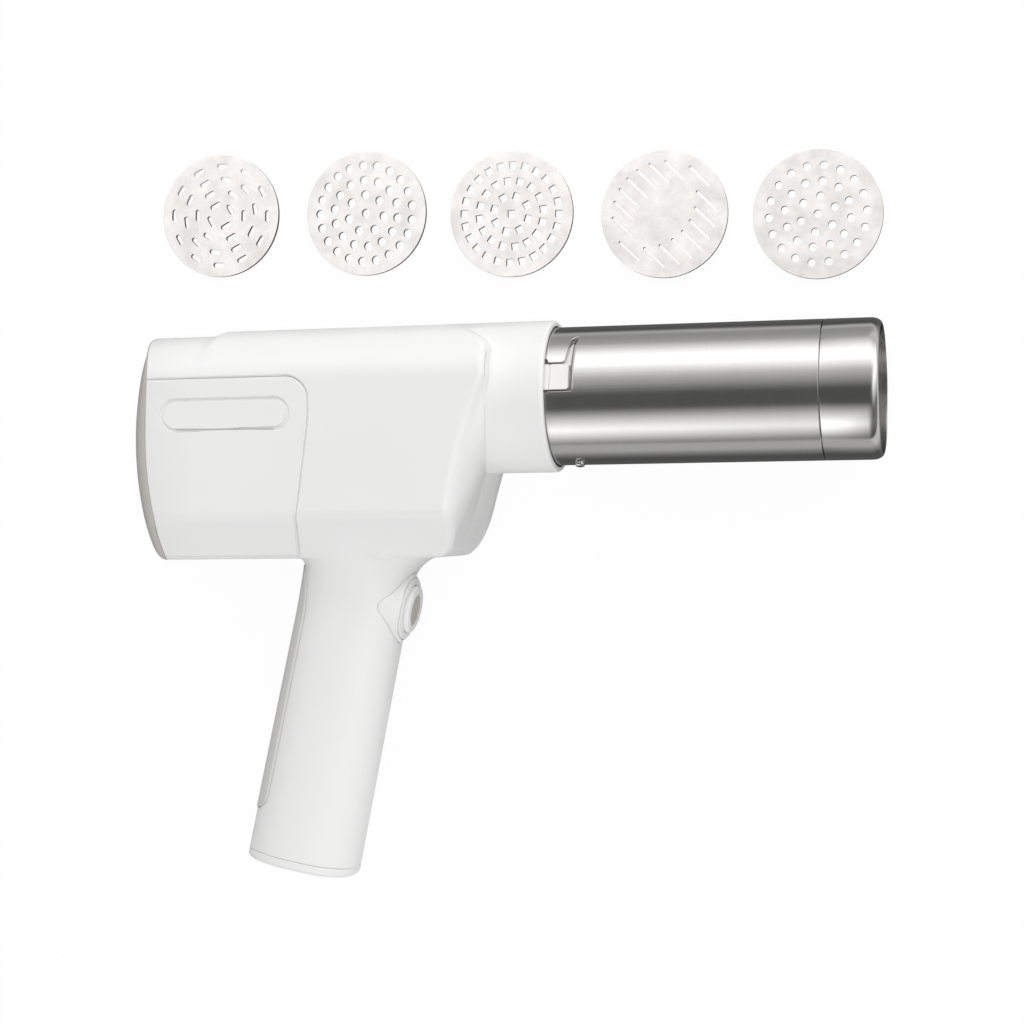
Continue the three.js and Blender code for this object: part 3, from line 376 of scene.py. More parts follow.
def spin(profile, sides, turn=None):
    """Revolves a closed line of (x, radius) about the X axis. A turn bends it into a screw."""
    profile = np.asarray(profile, float)
    angles = 2 * np.pi * np.arange(sides) / sides
    points = []
    for angle in angles:
        radii = profile[:, 1].copy()
        if turn is not None:
            radii = radii + turn(profile[:, 0], radii, angle)
        points.append(
            np.stack([profile[:, 0], radii * math.sin(angle), radii * math.cos(angle)], 1)
        )
    count = len(profile)
    faces = []
    for i in range(sides):
        here, after = i * count, ((i + 1) % sides) * count
        for j in range(count):
            k = (j + 1) % count
            if profile[j, 1] == 0 and profile[k, 1] == 0:
                continue
            faces.append((here + j, after + j, after + k, here + k))
    return np.vstack(points), faces


def prism(outline, low, high, axis="z"):
    """Extrudes an outline of pairs along an axis: (X, Y) along Z, or (Y, Z) along X."""
    outline = np.asarray(outline, float)
    count = len(outline)
    layers = []
    for level in (low, high):
        fixed = np.full((count, 1), float(level))
        if axis == "z":
            layers.append(np.hstack([outline, fixed]))
        else:
            layers.append(np.hstack([fixed, outline]))
    faces = [tuple(range(count))[::-1], tuple(range(count, 2 * count))]
    faces += [(i, (i + 1) % count, count + (i + 1) % count, count + i) for i in range(count)]
    return np.vstack(layers), faces


def grown(outline, gap):
    """Moves a closed outline of (x, angle) outwards by a gap."""
    flat = np.asarray(outline, float) * (1, BARREL_RADIUS)
    after, before = np.roll(flat, -1, 0), np.roll(flat, 1, 0)
    along = unit(after - before)
    turned = np.sign((flat[:, 0] * after[:, 1] - after[:, 0] * flat[:, 1]).sum())
    return (flat + turned * gap * np.column_stack([along[:, 1], -along[:, 0]])) / (1, BARREL_RADIUS)


def wrap(outline, inner, outer, chamfer=0.0):
    """Extrudes an outline of (x, angle) from an inner to an outer radius about the X axis."""
    levels = [(inner, 0.0), (outer, 0.0)]
    if chamfer:
        skin = BARREL_RADIUS + 0.05
        levels = [(inner, 0.0), (skin - chamfer, 0.0), (skin, chamfer), (outer, chamfer)]
    layers = []
    for r, gap in levels:
        line = grown(outline, gap)
        layers.append(np.stack([line[:, 0], r * np.sin(line[:, 1]), r * np.cos(line[:, 1])], 1))
    count, top = len(outline), (len(levels) - 1) * len(outline)
    faces = [tuple(range(count))[::-1], tuple(range(top, top + count))]
    for low in range(0, top, count):
        faces += [
            (low + i, low + (i + 1) % count, low + count + (i + 1) % count, low + count + i)
            for i in range(count)
        ]
    return np.vstack(layers), faces


def sweep(path, radius, sides=10, closed=False):
    """A round bar along a path of points."""
    path = np.asarray(path, float)
    ahead = np.roll(path, -1, 0) - path
    behind = path - np.roll(path, 1, 0)
    if not closed:
        ahead[-1], behind[0] = behind[-1], ahead[0]
    along = unit(unit(ahead) + unit(behind))
    normal = unit(np.cross(along[0], (0.31, 0.53, 0.79)))
    rings = []
    for point, direction in zip(path, along):
        normal = unit(normal - direction * normal.dot(direction))
        side = np.cross(direction, normal)
        angles = 2 * np.pi * np.arange(sides) / sides
        rings.append(point + radius * (np.outer(np.cos(angles), normal) + np.outer(np.sin(angles), side)))
    if not closed:
        return loft(rings)
    rings = np.asarray(rings)
    shift = int(np.argmin(np.linalg.norm(rings[0] - rings[-1][0], axis=1)))
    rows, count = rings.shape[:2]
    faces = []
    for row in range(rows):
        for i in range(count):
            after = (i + 1) % count
            low = row * count
            if row < rows - 1:
                faces.append((low + i, low + after, low + count + after, low + count + i))
            else:
                faces.append((low + i, low + after, (after + shift) % count, (i + shift) % count))
    return rings.reshape(-1, 3), faces


def mesh_object(name, shape, place=None):
    """Makes an object of a shape in millimetres, set in the press's place."""
    points, faces = shape
    points = np.asarray(points, float)
    if place is not None:
        matrix = np.array(place, float)
        points = points @ matrix[:3, :3].T + matrix[:3, 3]
    points = points * MM + np.array([0, 0, PRESS_Z])
    mesh = bpy.data.meshes.new(name)
    mesh.from_pydata(points.tolist(), [], faces)
    made = bpy.data.objects.new(name, mesh)
    bpy.context.scene.collection.objects.link(made)
    tidy_mesh(made)
    return made


def tidy_mesh(made, merge=1e-6):
    """Merges doubled points, drops empty faces and turns all faces outwards."""
    work = bmesh.new()
    work.from_mesh(made.data)
    bmesh.ops.remove_doubles(work, verts=work.verts, dist=merge)
    bmesh.ops.dissolve_degenerate(work, edges=work.edges, dist=merge)
    bmesh.ops.recalc_face_normals(work, faces=work.faces)
    work.to_mesh(made.data)
    work.free()


def settle(made):
    """Replaces an object's mesh by what its modifiers make of it, and removes them."""
    evaluated = made.evaluated_get(bpy.context.evaluated_depsgraph_get())
    mesh = bpy.data.meshes.new_from_object(evaluated)
    made.modifiers.clear()
    old, made.data = made.data, mesh
    mesh.name = made.name
    bpy.data.meshes.remove(old)
    return made


def carve(made, *tools, operation="DIFFERENCE"):
    """Cuts tools out of an object, joins them to it, or keeps what they share, and removes them."""
    for tool in tools:
        cut = made.modifiers.new("carve", "BOOLEAN")
        cut.operation = operation
        cut.solver = "MANIFOLD"
        cut.object = tool
    settle(made)
    for tool in tools:
        data = tool.data
        bpy.data.objects.remove(tool)
        bpy.data.meshes.remove(data)
    if not made.data.polygons:
        raise RuntimeError(f"{made.name} came out empty after a cut")
    return made


def twin(made, name):
    copy = made.copy()
    copy.data = made.data.copy()
    copy.name = name
    bpy.context.scene.collection.objects.link(copy)
    return copy


def shade(made, degrees=32):
    """Smooth shading with sharp edges where two faces meet at more than the given angle."""
    work = bmesh.new()
    work.from_mesh(made.data)
    bmesh.ops.remove_doubles(work, verts=work.verts, dist=2e-6)
    bmesh.ops.dissolve_degenerate(work, edges=work.edges, dist=2e-6)
    limit = math.radians(degrees)
    for face in work.faces:
        face.smooth = True
    for edge in work.edges:
        edge.smooth = len(edge.link_faces) == 2 and edge.calc_face_angle(0.0) < limit
    work.to_mesh(made.data)
    work.free()
    return made


def finish(made, body, look, nodes, degrees=32):
    """Shades a piece, gives it its finish and lets it ride in place of its solids."""
    shade(made, degrees)
    made.data.materials.clear()
    made.data.materials.append(look)
    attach(made, body)
    if nodes:
        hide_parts(*nodes)
    return made


# Shapes of the housing and handle


def between(start, end, count):
    """Points from the start towards the end, without the end."""
    return [start + (end - start) * t for t in np.linspace(0, 1, count, endpoint=False)]


def half_section(inset, drop, softness):
    """The housing's outline on the right, as (y, z) from the bottom's middle to the top."""
    half = HALF_WIDTH - inset
    top = TOP - inset - drop
    crease = -CREASE + inset / 3
    corners = [
        (-BOTTOM + inset, 0),
        (-BOTTOM + inset, BOTTOM_FLAT - inset / 3),
        (crease, half),
        (PANEL_TOP, half),
    ]
    steps = 6
    rounded = soften(corners, [0, softness, softness, 0], steps)
    turn = steps + 3
    lower, upper, end = rounded[1 : 1 + turn], rounded[1 + turn : 1 + 2 * turn], rounded[-1]
    points = between(rounded[0], lower[0], 6) + lower[:-1]
    points += between(lower[-1], upper[0], 6) + upper[:-1] + between(upper[-1], end, 12) + [end]
    crown = arc(0, 90, 27)[1:]
    arch = np.column_stack([PANEL_TOP + (top - PANEL_TOP) * np.sin(crown), half * np.cos(crown)])
    return np.vstack([points, arch])


def housing_ring(inset, drop, x_at, softness):
    half = half_section(inset, drop, softness)
    mirrored = half[1:-1][::-1] * (1, -1)
    outline = np.vstack([half, mirrored])
    return np.column_stack([[x_at(y, z) for y, z in outline], outline])


def rear_x(y, z):
    """The rear crease bows up and down and bulges across."""
    rise = rear_rise(y)
    bow = (REAR_BOW_TOP if rise > 0 else REAR_BOW) * rise**2
    return -REAR_CREASE + bow - REAR_BULGE * (1 - (z / HALF_WIDTH) ** 2)


def rear_rise(y):
    """Height above the middle of the rear, as a share of half its height."""
    return (2 * y - TOP + BOTTOM) / (TOP + BOTTOM)


def front_x(y, z=0.0):
    """The front crease leans forward to the panel's top and draws back below and over the crown."""
    lean = clamp((y + CREASE) / (PANEL_TOP + CREASE)) ** LEAN_POWER
    corner = max((-CREASE - y) / (BOTTOM - CREASE), 0) ** 2
    crown = max((y - CROWN_START) / (TOP - CROWN_START), 0) ** 2
    return FRONT_LOW + FRONT_LEAN * lean - FRONT_CORNER * corner - CROWN_DROP * crown


def bevel_x(y):
    """The bevel's front edge runs ahead of the crease and meets it near the panel's top."""
    share_ahead = soft_step((BEVEL_FADE_FROM - y) / BEVEL_FADE)
    ahead = FRONT_BEVEL_TOP + (FRONT_BEVEL_AHEAD - FRONT_BEVEL_TOP) * share_ahead
    return front_x(y) + ahead - BEVEL_LOW_DROP * clamp((-BEVEL_LOW - y) / BEVEL_LOW_FADE)


def larger(a, b, softness):
    """The larger of two values, with a soft change from one to the other."""
    return softness * np.logaddexp(a / softness, b / softness)


def root_ring(bevel, radius, x):
    """The housing's front drawn in round the collar, further back below than at its side."""
    reach = np.hypot(bevel[:, 1], bevel[:, 2])
    outward = bevel[:, 1:] / reach[:, None]
    ring = outward * -larger(-radius, ROOT_GAP - reach, 0.8)[:, None]
    leaning = x + ROOT_LEAN * (np.abs(ring[:, 1]) - ROOT_LEAN_FROM)
    return np.column_stack([larger(leaning, bevel[:, 0] + ROOT_AHEAD, 1.2), ring])


def housing_outer(sizes):
    softness = sizes.corner_softness / MM
    rings = []
    for inset, ahead in ((REAR_EDGE, 0), (REAR_EDGE * 0.3, REAR_EDGE * 0.3), (0, REAR_EDGE)):
        rings.append(
            housing_ring(inset, REAR_TOP_DROP, lambda y, z, ahead=ahead: rear_x(y, z) + ahead, softness)
        )
    for t in np.linspace(0, 1, 9):
        drop = REAR_TOP_DROP * (1 - soft_step(t))
        x = -STEP_REAR + t * (STEP_REAR - STEP_FRONT)
        rings.append(housing_ring(0, drop, lambda y, z, x=x: x, softness))
    crease = housing_ring(0, 0, front_x, softness)
    bevel = housing_ring(FRONT_BEVEL, 0, lambda y, z: bevel_x(y), softness)
    roots = [root_ring(bevel, radius, x) for radius, x in ROOT_RINGS]
    reach = sizes.crease_softness / MM
    front = soften([rings[-1], crease, bevel, roots[0]], [0, reach, reach * 0.6, 0], 8)[1:-1]
    rings += front + between(front[-1], roots[0], 6)[1:] + roots
    return loft(rings, None, (ROOT_END, 0, 0))


def housing_inner(wall=WALL):
    rings = [
        housing_ring(wall, REAR_TOP_DROP, lambda y, z: rear_x(y, z) - OVERRUN, 1),
        housing_ring(wall, REAR_TOP_DROP, lambda y, z: -STEP_REAR, 1),
        housing_ring(wall, 0, lambda y, z: -STEP_FRONT, 1),
        housing_ring(wall, 0, lambda y, z: front_x(y) - wall, 1),
        housing_ring(wall + FRONT_BEVEL, 0, lambda y, z: bevel_x(y) - wall, 1),
    ]
    return loft(rings)


def rod(from_x, to_x, radius, sides=96, rounding=0.0):
    return spin(soften(band(from_x, to_x, 0, radius), [0, 0, rounding, 0], 5), sides)


def flare(radius, start, y):
    rise = min(max(y + start, 0), radius)
    return radius - math.sqrt(radius * radius - rise * rise)


def handle_outline(y, inset, tilt, front, rear, side, sides):
    angles = 2 * np.pi * np.arange(sides) / sides
    power = 2 / HANDLE_POWER
    along = np.sign(np.cos(angles)) * np.abs(np.cos(angles)) ** power
    across = np.sign(np.sin(angles)) * np.abs(np.sin(angles)) ** power
    reach = np.where(along > 0, HANDLE_LENGTH - inset + front, HANDLE_LENGTH - inset + rear)
    x = reach * along
    z = (HANDLE_THICKNESS - inset + side) * across
    return np.column_stack([y * math.tan(HANDLE_TILT) + x, y - x * math.tan(tilt), z])


def handle_ring(y, inset, tilt=0.0, sides=96):
    front = flare(FRONT_FILLET, BOTTOM + FRONT_FILLET, y)
    rear = flare(REAR_FILLET, BOTTOM + REAR_FILLET, y)
    side = flare(SIDE_FLARE, FLARE_START, y)
    return handle_outline(y, inset, tilt, front, rear, side, sides)


def handle_rings(inset):
    levels = [-ROOT_LEVEL, -ROOT_LEVEL - 5, -ROOT_LEVEL - 10]
    levels += [-BOTTOM - FRONT_FILLET * (1 - math.sin(a)) for a in arc(90, 0, 12)]
    levels += list(np.linspace(-BOTTOM - FRONT_FILLET - 2, -FLARE_START, 7))
    rings = [handle_ring(y, inset) for y in levels]
    foot = handle_ring(-BASE_SEAM, inset, BASE_TILT)
    last = rings[-1]
    rings += [last + (foot - last) * t for t in np.linspace(0, 1, 28)[1:]]
    return rings


def handle_inner(wall=WALL):
    ends = ((-ROOT_LEVEL, 0), (-BASE_SEAM - OVERRUN, BASE_TILT))
    return loft([handle_outline(y, wall, tilt, 0, 0, 0, 64) for y, tilt in ends])


def button_place():
    y = -BUTTON_LEVEL
    x = y * math.tan(HANDLE_TILT) + HANDLE_LENGTH
    return Matrix.Translation((x, y, 0)) @ Matrix.Rotation(-HANDLE_TILT, 4, "Z")


def bezel_outline(gap):
    """The bezel's rounded diamond as (y, z) square to the button's axis."""
    y, z = BEZEL_SHOULDER[0] + gap / 2, BEZEL_SHOULDER[1] + gap
    right = [(BEZEL_TALL + gap, 0), (y, z), (0, BEZEL_WIDE + gap), (-y, z)]
    corners = right + [(-a, -b) for a, b in right]
    return np.array(soften(corners, [5, 4, 5.5, 4] * 2, 6, True, 0))


def bezel_block(gap, name="bezel_block"):
    return mesh_object(name, prism(bezel_outline(gap), -BEZEL_DEPTH, OVERRUN, "x"), button_place())


def button_bore(radius, front, name="button_bore"):
    return mesh_object(name, rod(-BEZEL_DEPTH, front, radius, 64), button_place())


def stadium(total, width, steps=12, x=0.0, y=0.0):
    radius, reach = width / 2, (total - width) / 2
    angles = arc(-90, 90, steps + 1)
    end = np.column_stack([reach + radius * np.cos(angles), radius * np.sin(angles)])
    return np.vstack([end, -end]) + (x, y)


def strip_block(gap, name="strip_block"):
    """The soft strip's outline, standing through the back of the handle."""
    corners = rectangle(2 * (STRIP_HALF_LENGTH + gap), 2 * (STRIP_HALF_WIDTH + gap))
    outline = soften(corners, [STRIP_CORNER + gap] * 4, 8, True, 0)
    upright = Matrix(((0, 0, -1, 0), (-1, 0, 0, -STRIP_TOP - STRIP_HALF_LENGTH), (0, 1, 0, 0), (0, 0, 0, 1)))
    place = Matrix.Rotation(-HANDLE_TILT, 4, "Z") @ upright
    return mesh_object(name, prism(outline, 0, 2 * HANDLE_LENGTH), place)


def cover_line(gap):
    """The side cover's front edge as (x, y), from the rear along its top and down to the bottom."""
    top, front, low = COVER_TOP - gap, -COVER_FRONT - gap, -COVER_LOW - gap
    angles = arc(90, 0, 13)
    bend = np.column_stack([np.cos(angles), np.sin(angles)]) * COVER_CORNER
    bend += (front - COVER_CORNER, top - COVER_CORNER)
    end = (low - COVER_LEAN, -BOTTOM - OVERRUN)
    edge = soften(
        [bend[-1], (front, -COVER_BEND), (low, -CREASE), end],
        [0, COVER_BEND_REACH, COVER_BEND_REACH, 0],
        loop=0,
    )
    return [np.array([-FAR_REAR, top]), *bend, *edge[1:]]


def cover_block(side, gap, name="cover_block"):
    outline = [np.array([-FAR_REAR, -BOTTOM - OVERRUN])] + cover_line(gap)
    inner, outer = COVER_INNER + gap, HALF_WIDTH + OVERRUN
    low, high = (inner, outer) if side > 0 else (-outer, -inner)
    return mesh_object(name, prism(outline, low, high))


def section_z(y, softness):
    """How far out the housing's side lies at a height."""
    half = half_section(0, REAR_TOP_DROP, softness)
    return float(np.interp(y, half[:, 0], half[:, 1]))


def cover_groove(side, sizes):
    """A round bar along the cover's seam, half sunk in the housing's skin."""
    softness = sizes.corner_softness / MM
    radius = sizes.groove_radius / MM
    line = cover_line(FIT / 2)
    dense = []
    for a, b in zip(line, line[1:]):
        steps = max(int(np.linalg.norm(b - a) / 1.2), 1)
        dense += [a + (b - a) * i / steps for i in range(steps)]
    path = [(x, y, side * (section_z(y, softness) + 0.1)) for x, y in dense if y > -BOTTOM + 0.5]
    edge = side * (section_z(-BOTTOM + 0.05, softness) + 0.2)
    path += [(x, -BOTTOM - 0.1, edge) for x in (path[-1][0], -FAR_REAR)]
    return mesh_object("groove", sweep(path, radius))


def pill_groove(side, sizes):
    radius = sizes.pill_groove_radius / MM
    path = stadium(PILL_LENGTH - radius, PILL_WIDTH - radius, 20, *PILL_MIDDLE)
    path = np.column_stack([path, np.full(len(path), side * (HALF_WIDTH - 0.05))])
    return mesh_object("groove", sweep(path, radius, 12, True))


def down_handle(x, y):
    """A place given square to the handle, as (x, y)."""
    cos, sin = math.cos(HANDLE_TILT), math.sin(HANDLE_TILT)
    return x * cos + y * sin, y * cos - x * sin


SCREWS = [(-86, 20), (35, 22), (28.6, -57), down_handle(-8, -112), down_handle(0, -196)]


def pin(radius, place, low, high):
    angles = 2 * np.pi * np.arange(32) / 32
    outline = radius * np.column_stack([np.cos(angles), np.sin(angles)]) + place
    return mesh_object("pin", prism(outline, low, high))


def cap_depth(y, inset):
    """The dome's depth behind the crease, thinner towards the top."""
    depth = CAP_DEPTH - (REAR_BOW - REAR_BOW_TOP) * max(rear_rise(y), 0) ** 2
    return max(depth, 0.5) - inset


def cap_rings(inset, behind, softness):
    """Rings of the rear cap's dome, from its rim to its middle."""
    rings = []
    for angle in arc(0, 90, 16):
        rise = math.sin(angle) ** CAP_DOME
        inward = inset + (1 - math.cos(angle)) * CAP_INSET

        def x_at(y, z, rise=rise):
            return rear_x(y, z) - behind - rise * cap_depth(y, inset)

        rings.append(housing_ring(inward, REAR_TOP_DROP, x_at, softness))
    middle = (TOP - BOTTOM) / 2
    rim = rings[-1]
    for size in (0.9, 0.75, 0.6, 0.45, 0.3, 0.15):
        ring = (rim - (0, middle, 0)) * (1, size, size) + (0, middle, 0)
        ring[:, 0] = [x_at(y, z) for _, y, z in ring]
        rings.append(ring)
    return rings


# Node trees


class Graph:
    """Adds nodes to one tree, with sockets set or linked by name as they come."""

    def __init__(self, tree):
        self.tree = tree

    def add(self, kind, inputs=None, **settings):
        node = self.tree.nodes.new(kind)
        for key, value in settings.items():
            setattr(node, key, value)
        for key, value in (inputs or {}).items():
            self.feed(node.inputs[key], value)
        return node

    def out(self, kind, inputs=None, **settings):
        return self.add(kind, inputs, **settings).outputs[0]

    def feed(self, socket, value):
        if isinstance(value, bpy.types.NodeSocket):
            self.tree.links.new(value, socket)
        else:
            socket.default_value = value

    def math(self, operation, *values, clamp=False):
        node = self.add("ShaderNodeMath", dict(enumerate(values)), operation=operation)
        node.use_clamp = clamp
        return node.outputs[0]

    def mix(self, factor, a, b):
        node = self.add("ShaderNodeMix", data_type="RGBA")
        for index, value in ((0, factor), (6, a), (7, b)):
            self.feed(node.inputs[index], value)
        return node.outputs[2]

    def span(self, value, low, high, to_low, to_high):
        inputs = {"Value": value, 1: low, 2: high, 3: to_low, 4: to_high}
        return self.out("ShaderNodeMapRange", inputs)

    def noise(self, vector, scale, detail=3.0, roughness=0.55):
        inputs = {"Vector": vector, "Scale": scale, "Detail": detail, "Roughness": roughness}
        return self.add("ShaderNodeTexNoise", inputs).outputs["Fac"]

    def stretch(self, vector, scale):
        return self.out("ShaderNodeMapping", {"Vector": vector, "Scale": scale})

    def bump(self, height, normal, strength, distance):
        inputs = {"Height": height, "Normal": normal, "Strength": strength, "Distance": distance}
        return self.out("ShaderNodeBump", inputs)

    def finished(self, shape, material):
        """Ends a geometry group: what it made, with its instances realized and its material set."""
        real = self.out("GeometryNodeRealizeInstances", {0: shape})
        return self.out("GeometryNodeSetMaterial", {"Geometry": real, "Material": material})

    def join(self, *parts):
        node = self.add("GeometryNodeJoinGeometry")
        for part in parts:
            self.tree.links.new(part, node.inputs[0])
        return node.outputs[0]

    def group(self, tree, **inputs):
        node = self.tree.nodes.new("ShaderNodeGroup")
        node.node_tree = tree
        for key, value in inputs.items():
            self.feed(node.inputs[key.replace("_", " ")], value)
        return node.outputs


VALUE, VECTOR = "NodeSocketFloat", "NodeSocketVector"
SHAPE, MATERIAL, OBJECT = "NodeSocketGeometry", "NodeSocketMaterial", "NodeSocketObject"


def node_group(name, kind, inputs, outputs):
    """An empty node group with its named sockets, and its input and output nodes."""
    tree = bpy.data.node_groups.new(name, kind)
    for label, socket_type, default in inputs:
        socket = tree.interface.new_socket(name=label, in_out="INPUT", socket_type=socket_type)
        if default is not None:
            socket.default_value = default
    for label, socket_type in outputs:
        tree.interface.new_socket(name=label, in_out="OUTPUT", socket_type=socket_type)
    graph = Graph(tree)
    return tree, graph, graph.add("NodeGroupInput").outputs, graph.add("NodeGroupOutput").inputs


def give(made, tree, values):
    """Runs a geometry group on an object with its inputs set by name, and keeps what it makes."""
    nodes = made.modifiers.new("nodes", "NODES")
    nodes.node_group = tree
    for item in tree.interface.items_tree:
        if item.in_out == "INPUT" and item.name in values:
            nodes[item.identifier] = values[item.name]
    return settle(made)


def moulded_grain():
    """Fine spark texture of a moulded surface, with slow changes of tone and gloss."""
    tree, graph, given, out = node_group(
        "Moulded grain",
        "ShaderNodeTree",
        [("Vector", VECTOR, None), ("Grain scale", VALUE, 2600.0), ("Tone scale", VALUE, 14.0)],
        [("Height", VALUE), ("Tone", VALUE), ("Gloss", VALUE)],
    )
    fine = graph.noise(given["Vector"], given["Grain scale"], 2.0, 0.6)
    coarse = graph.math("MULTIPLY", given["Grain scale"], 0.45)
    pits = graph.out("ShaderNodeTexVoronoi", {"Vector": given["Vector"], "Scale": coarse})
    height = graph.math("MULTIPLY_ADD", pits, 0.5, graph.math("MULTIPLY", fine, 0.5))
    slow = graph.noise(given["Vector"], given["Tone scale"], 4.0, 0.6)
    sink = graph.noise(given["Vector"], graph.math("MULTIPLY", given["Tone scale"], 3.1), 2.0, 0.5)
    graph.feed(out["Height"], height)
    graph.feed(out["Tone"], graph.span(slow, 0.3, 0.7, 0.0, 1.0))
    graph.feed(out["Gloss"], graph.span(sink, 0.3, 0.7, 0.0, 1.0))
    return tree


def soft_edges():
    """Rounded edges as a normal, and a mask that is bright where an edge was rounded, which the finishes use
    for painted edge highlights.
    """
    tree, graph, given, out = node_group(
        "Soft edges",
        "ShaderNodeTree",
        [("Radius", VALUE, 0.0003), ("Sharpness", VALUE, 6.0)],
        [("Normal", VECTOR), ("Edge", VALUE)],
    )
    rounded = graph.out("ShaderNodeBevel", {"Radius": given["Radius"]}, samples=6)
    plain = graph.add("ShaderNodeNewGeometry").outputs["Normal"]
    dot = graph.add("ShaderNodeVectorMath", {0: rounded, 1: plain}, operation="DOT_PRODUCT")
    turned = graph.math("SUBTRACT", 1.0, dot.outputs["Value"])
    edge = graph.math("MULTIPLY", turned, given["Sharpness"], clamp=True)
    graph.feed(out["Normal"], rounded)
    graph.feed(out["Edge"], edge)
    return tree


def turned_brushing():
    """Fine lines round the X axis, as a belt leaves on a spinning tube."""
    tree, graph, given, out = node_group(
        "Turned brushing",
        "ShaderNodeTree",
        [("Vector", VECTOR, None), ("Line scale", VALUE, 5200.0), ("Axis height", VALUE, 0.0)],
        [("Lines", VALUE), ("Bands", VALUE), ("Smudge", VALUE)],
    )
    parts = graph.add("ShaderNodeSeparateXYZ", {0: given["Vector"]}).outputs
    up = graph.math("SUBTRACT", parts["Z"], given["Axis height"])
    angle = graph.math("ARCTAN2", parts["Y"], up)
    wrapped = graph.out(
        "ShaderNodeCombineXYZ",
        {
            "X": graph.math("MULTIPLY", parts["X"], given["Line scale"]),
            "Y": graph.math("MULTIPLY", graph.math("SINE", angle), 2.2),
            "Z": graph.math("MULTIPLY", graph.math("COSINE", angle), 2.2),
        },
    )
    lines = graph.noise(wrapped, 1.0, 3.0, 0.7)
    coarse = graph.noise(graph.stretch(wrapped, (0.09, 1.0, 1.0)), 1.0, 2.0, 0.5)
    smudge = graph.noise(given["Vector"], 38.0, 3.0, 0.6)
    graph.feed(out["Lines"], graph.span(lines, 0.25, 0.75, 0.0, 1.0))
    graph.feed(out["Bands"], graph.span(coarse, 0.3, 0.7, 0.0, 1.0))
    graph.feed(out["Smudge"], graph.span(smudge, 0.35, 0.7, 0.0, 1.0))
    return tree


def pressed_sheet():
    """Rolled sheet steel: faint straight lines, cloudy patches and a few small marks."""
    tree, graph, given, out = node_group(
        "Pressed sheet",
        "ShaderNodeTree",
        [("Vector", VECTOR, None), ("Roll angle", VALUE, 0.6)],
        [("Lines", VALUE), ("Clouds", VALUE), ("Marks", VALUE)],
    )
    roll = {"Vector": given["Vector"], "Angle": given["Roll angle"]}
    turned = graph.out("ShaderNodeVectorRotate", roll)
    lines = graph.noise(graph.stretch(turned, (420.0, 6200.0, 420.0)), 1.0, 2.0, 0.6)
    clouds = graph.noise(given["Vector"], 95.0, 5.0, 0.62)
    marks = graph.out("ShaderNodeTexVoronoi", {"Vector": given["Vector"], "Scale": 310.0})
    graph.feed(out["Lines"], graph.span(lines, 0.3, 0.7, 0.0, 1.0))
    graph.feed(out["Clouds"], graph.span(clouds, 0.35, 0.68, 0.0, 1.0))
    graph.feed(out["Marks"], graph.span(marks, 0.0, 0.16, 1.0, 0.0))
    return tree


EFFECTS = {}
LOOKS = {}


def material(name, values):
    """A new material with its Principled shader set by plain values."""
    look = bpy.data.materials.new(name)
    look.use_nodes = True
    surface = look.node_tree.nodes["Principled BSDF"]
    for key, value in values.items():
        surface.inputs[key].default_value = value
    graph = Graph(look.node_tree)
    place = graph.add("ShaderNodeTexCoord").outputs["Object"]
    LOOKS[name] = look
    return graph, surface.inputs, place


def scaled(tone, factor):
    return tuple(min(c * factor, 1.0) for c in tone[:3]) + (1.0,)


def plastic_look(name, tone, rough, grain=2600.0, depth=0.00002, edge=0.0003, spread=0.012):
    """Moulded plastic, glossier along its edges, with a painted highlight that makes them a little lighter.
    """
    graph, surface, place = material(name, {"IOR": 1.5})
    skin = graph.group(EFFECTS["grain"], Vector=place, Grain_scale=grain)
    rim = graph.group(EFFECTS["edges"], Radius=edge, Sharpness=5.0)
    base = graph.mix(skin["Tone"], scaled(tone, 1 - spread), scaled(tone, 1 + spread))
    # Painted highlight: the base colour is made 3% lighter along rounded edges.
    graph.feed(surface["Base Color"], graph.mix(rim["Edge"], base, scaled(tone, 1.03)))
    gloss = graph.span(skin["Gloss"], 0.0, 1.0, rough - 0.03, rough + 0.03)
    worn = graph.math("MULTIPLY", rim["Edge"], 0.06)
    graph.feed(surface["Roughness"], graph.math("SUBTRACT", gloss, worn))
    graph.feed(surface["Normal"], graph.bump(skin["Height"], rim["Normal"], 0.25, depth))
    return LOOKS[name]


def steel_look(name, tone, rough, lines=5200.0, aniso=0.75):
    """Metal brushed round the X axis, with a painted highlight that makes it brighter along its edges."""
    values = {"Metallic": 1.0, "Anisotropic": aniso, "Anisotropic Rotation": 0.25}
    graph, surface, place = material(name, values)
    brush = graph.group(EFFECTS["turned"], Vector=place, Line_scale=lines, Axis_height=PRESS_Z)
    rim = graph.group(EFFECTS["edges"], Radius=0.00025, Sharpness=4.0)
    base = graph.mix(brush["Lines"], scaled(tone, 0.96), scaled(tone, 1.04))
    base = graph.mix(graph.math("MULTIPLY", brush["Bands"], 0.3), base, scaled(tone, 0.95))
    # Painted highlight: the base colour is made 20% brighter along rounded edges.
    graph.feed(surface["Base Color"], graph.mix(rim["Edge"], base, scaled(tone, 1.2)))
    streak = graph.span(brush["Lines"], 0.0, 1.0, rough - 0.02, rough + 0.02)
    smear = graph.math("MULTIPLY", brush["Smudge"], 0.03)
    graph.feed(surface["Roughness"], graph.math("ADD", streak, smear))
    graph.feed(surface["Normal"], graph.bump(brush["Lines"], rim["Normal"], 0.06, 0.00001))
    tangent = graph.out("ShaderNodeTangent", direction_type="RADIAL", axis="X")
    graph.feed(surface["Tangent"], tangent)
    return LOOKS[name]


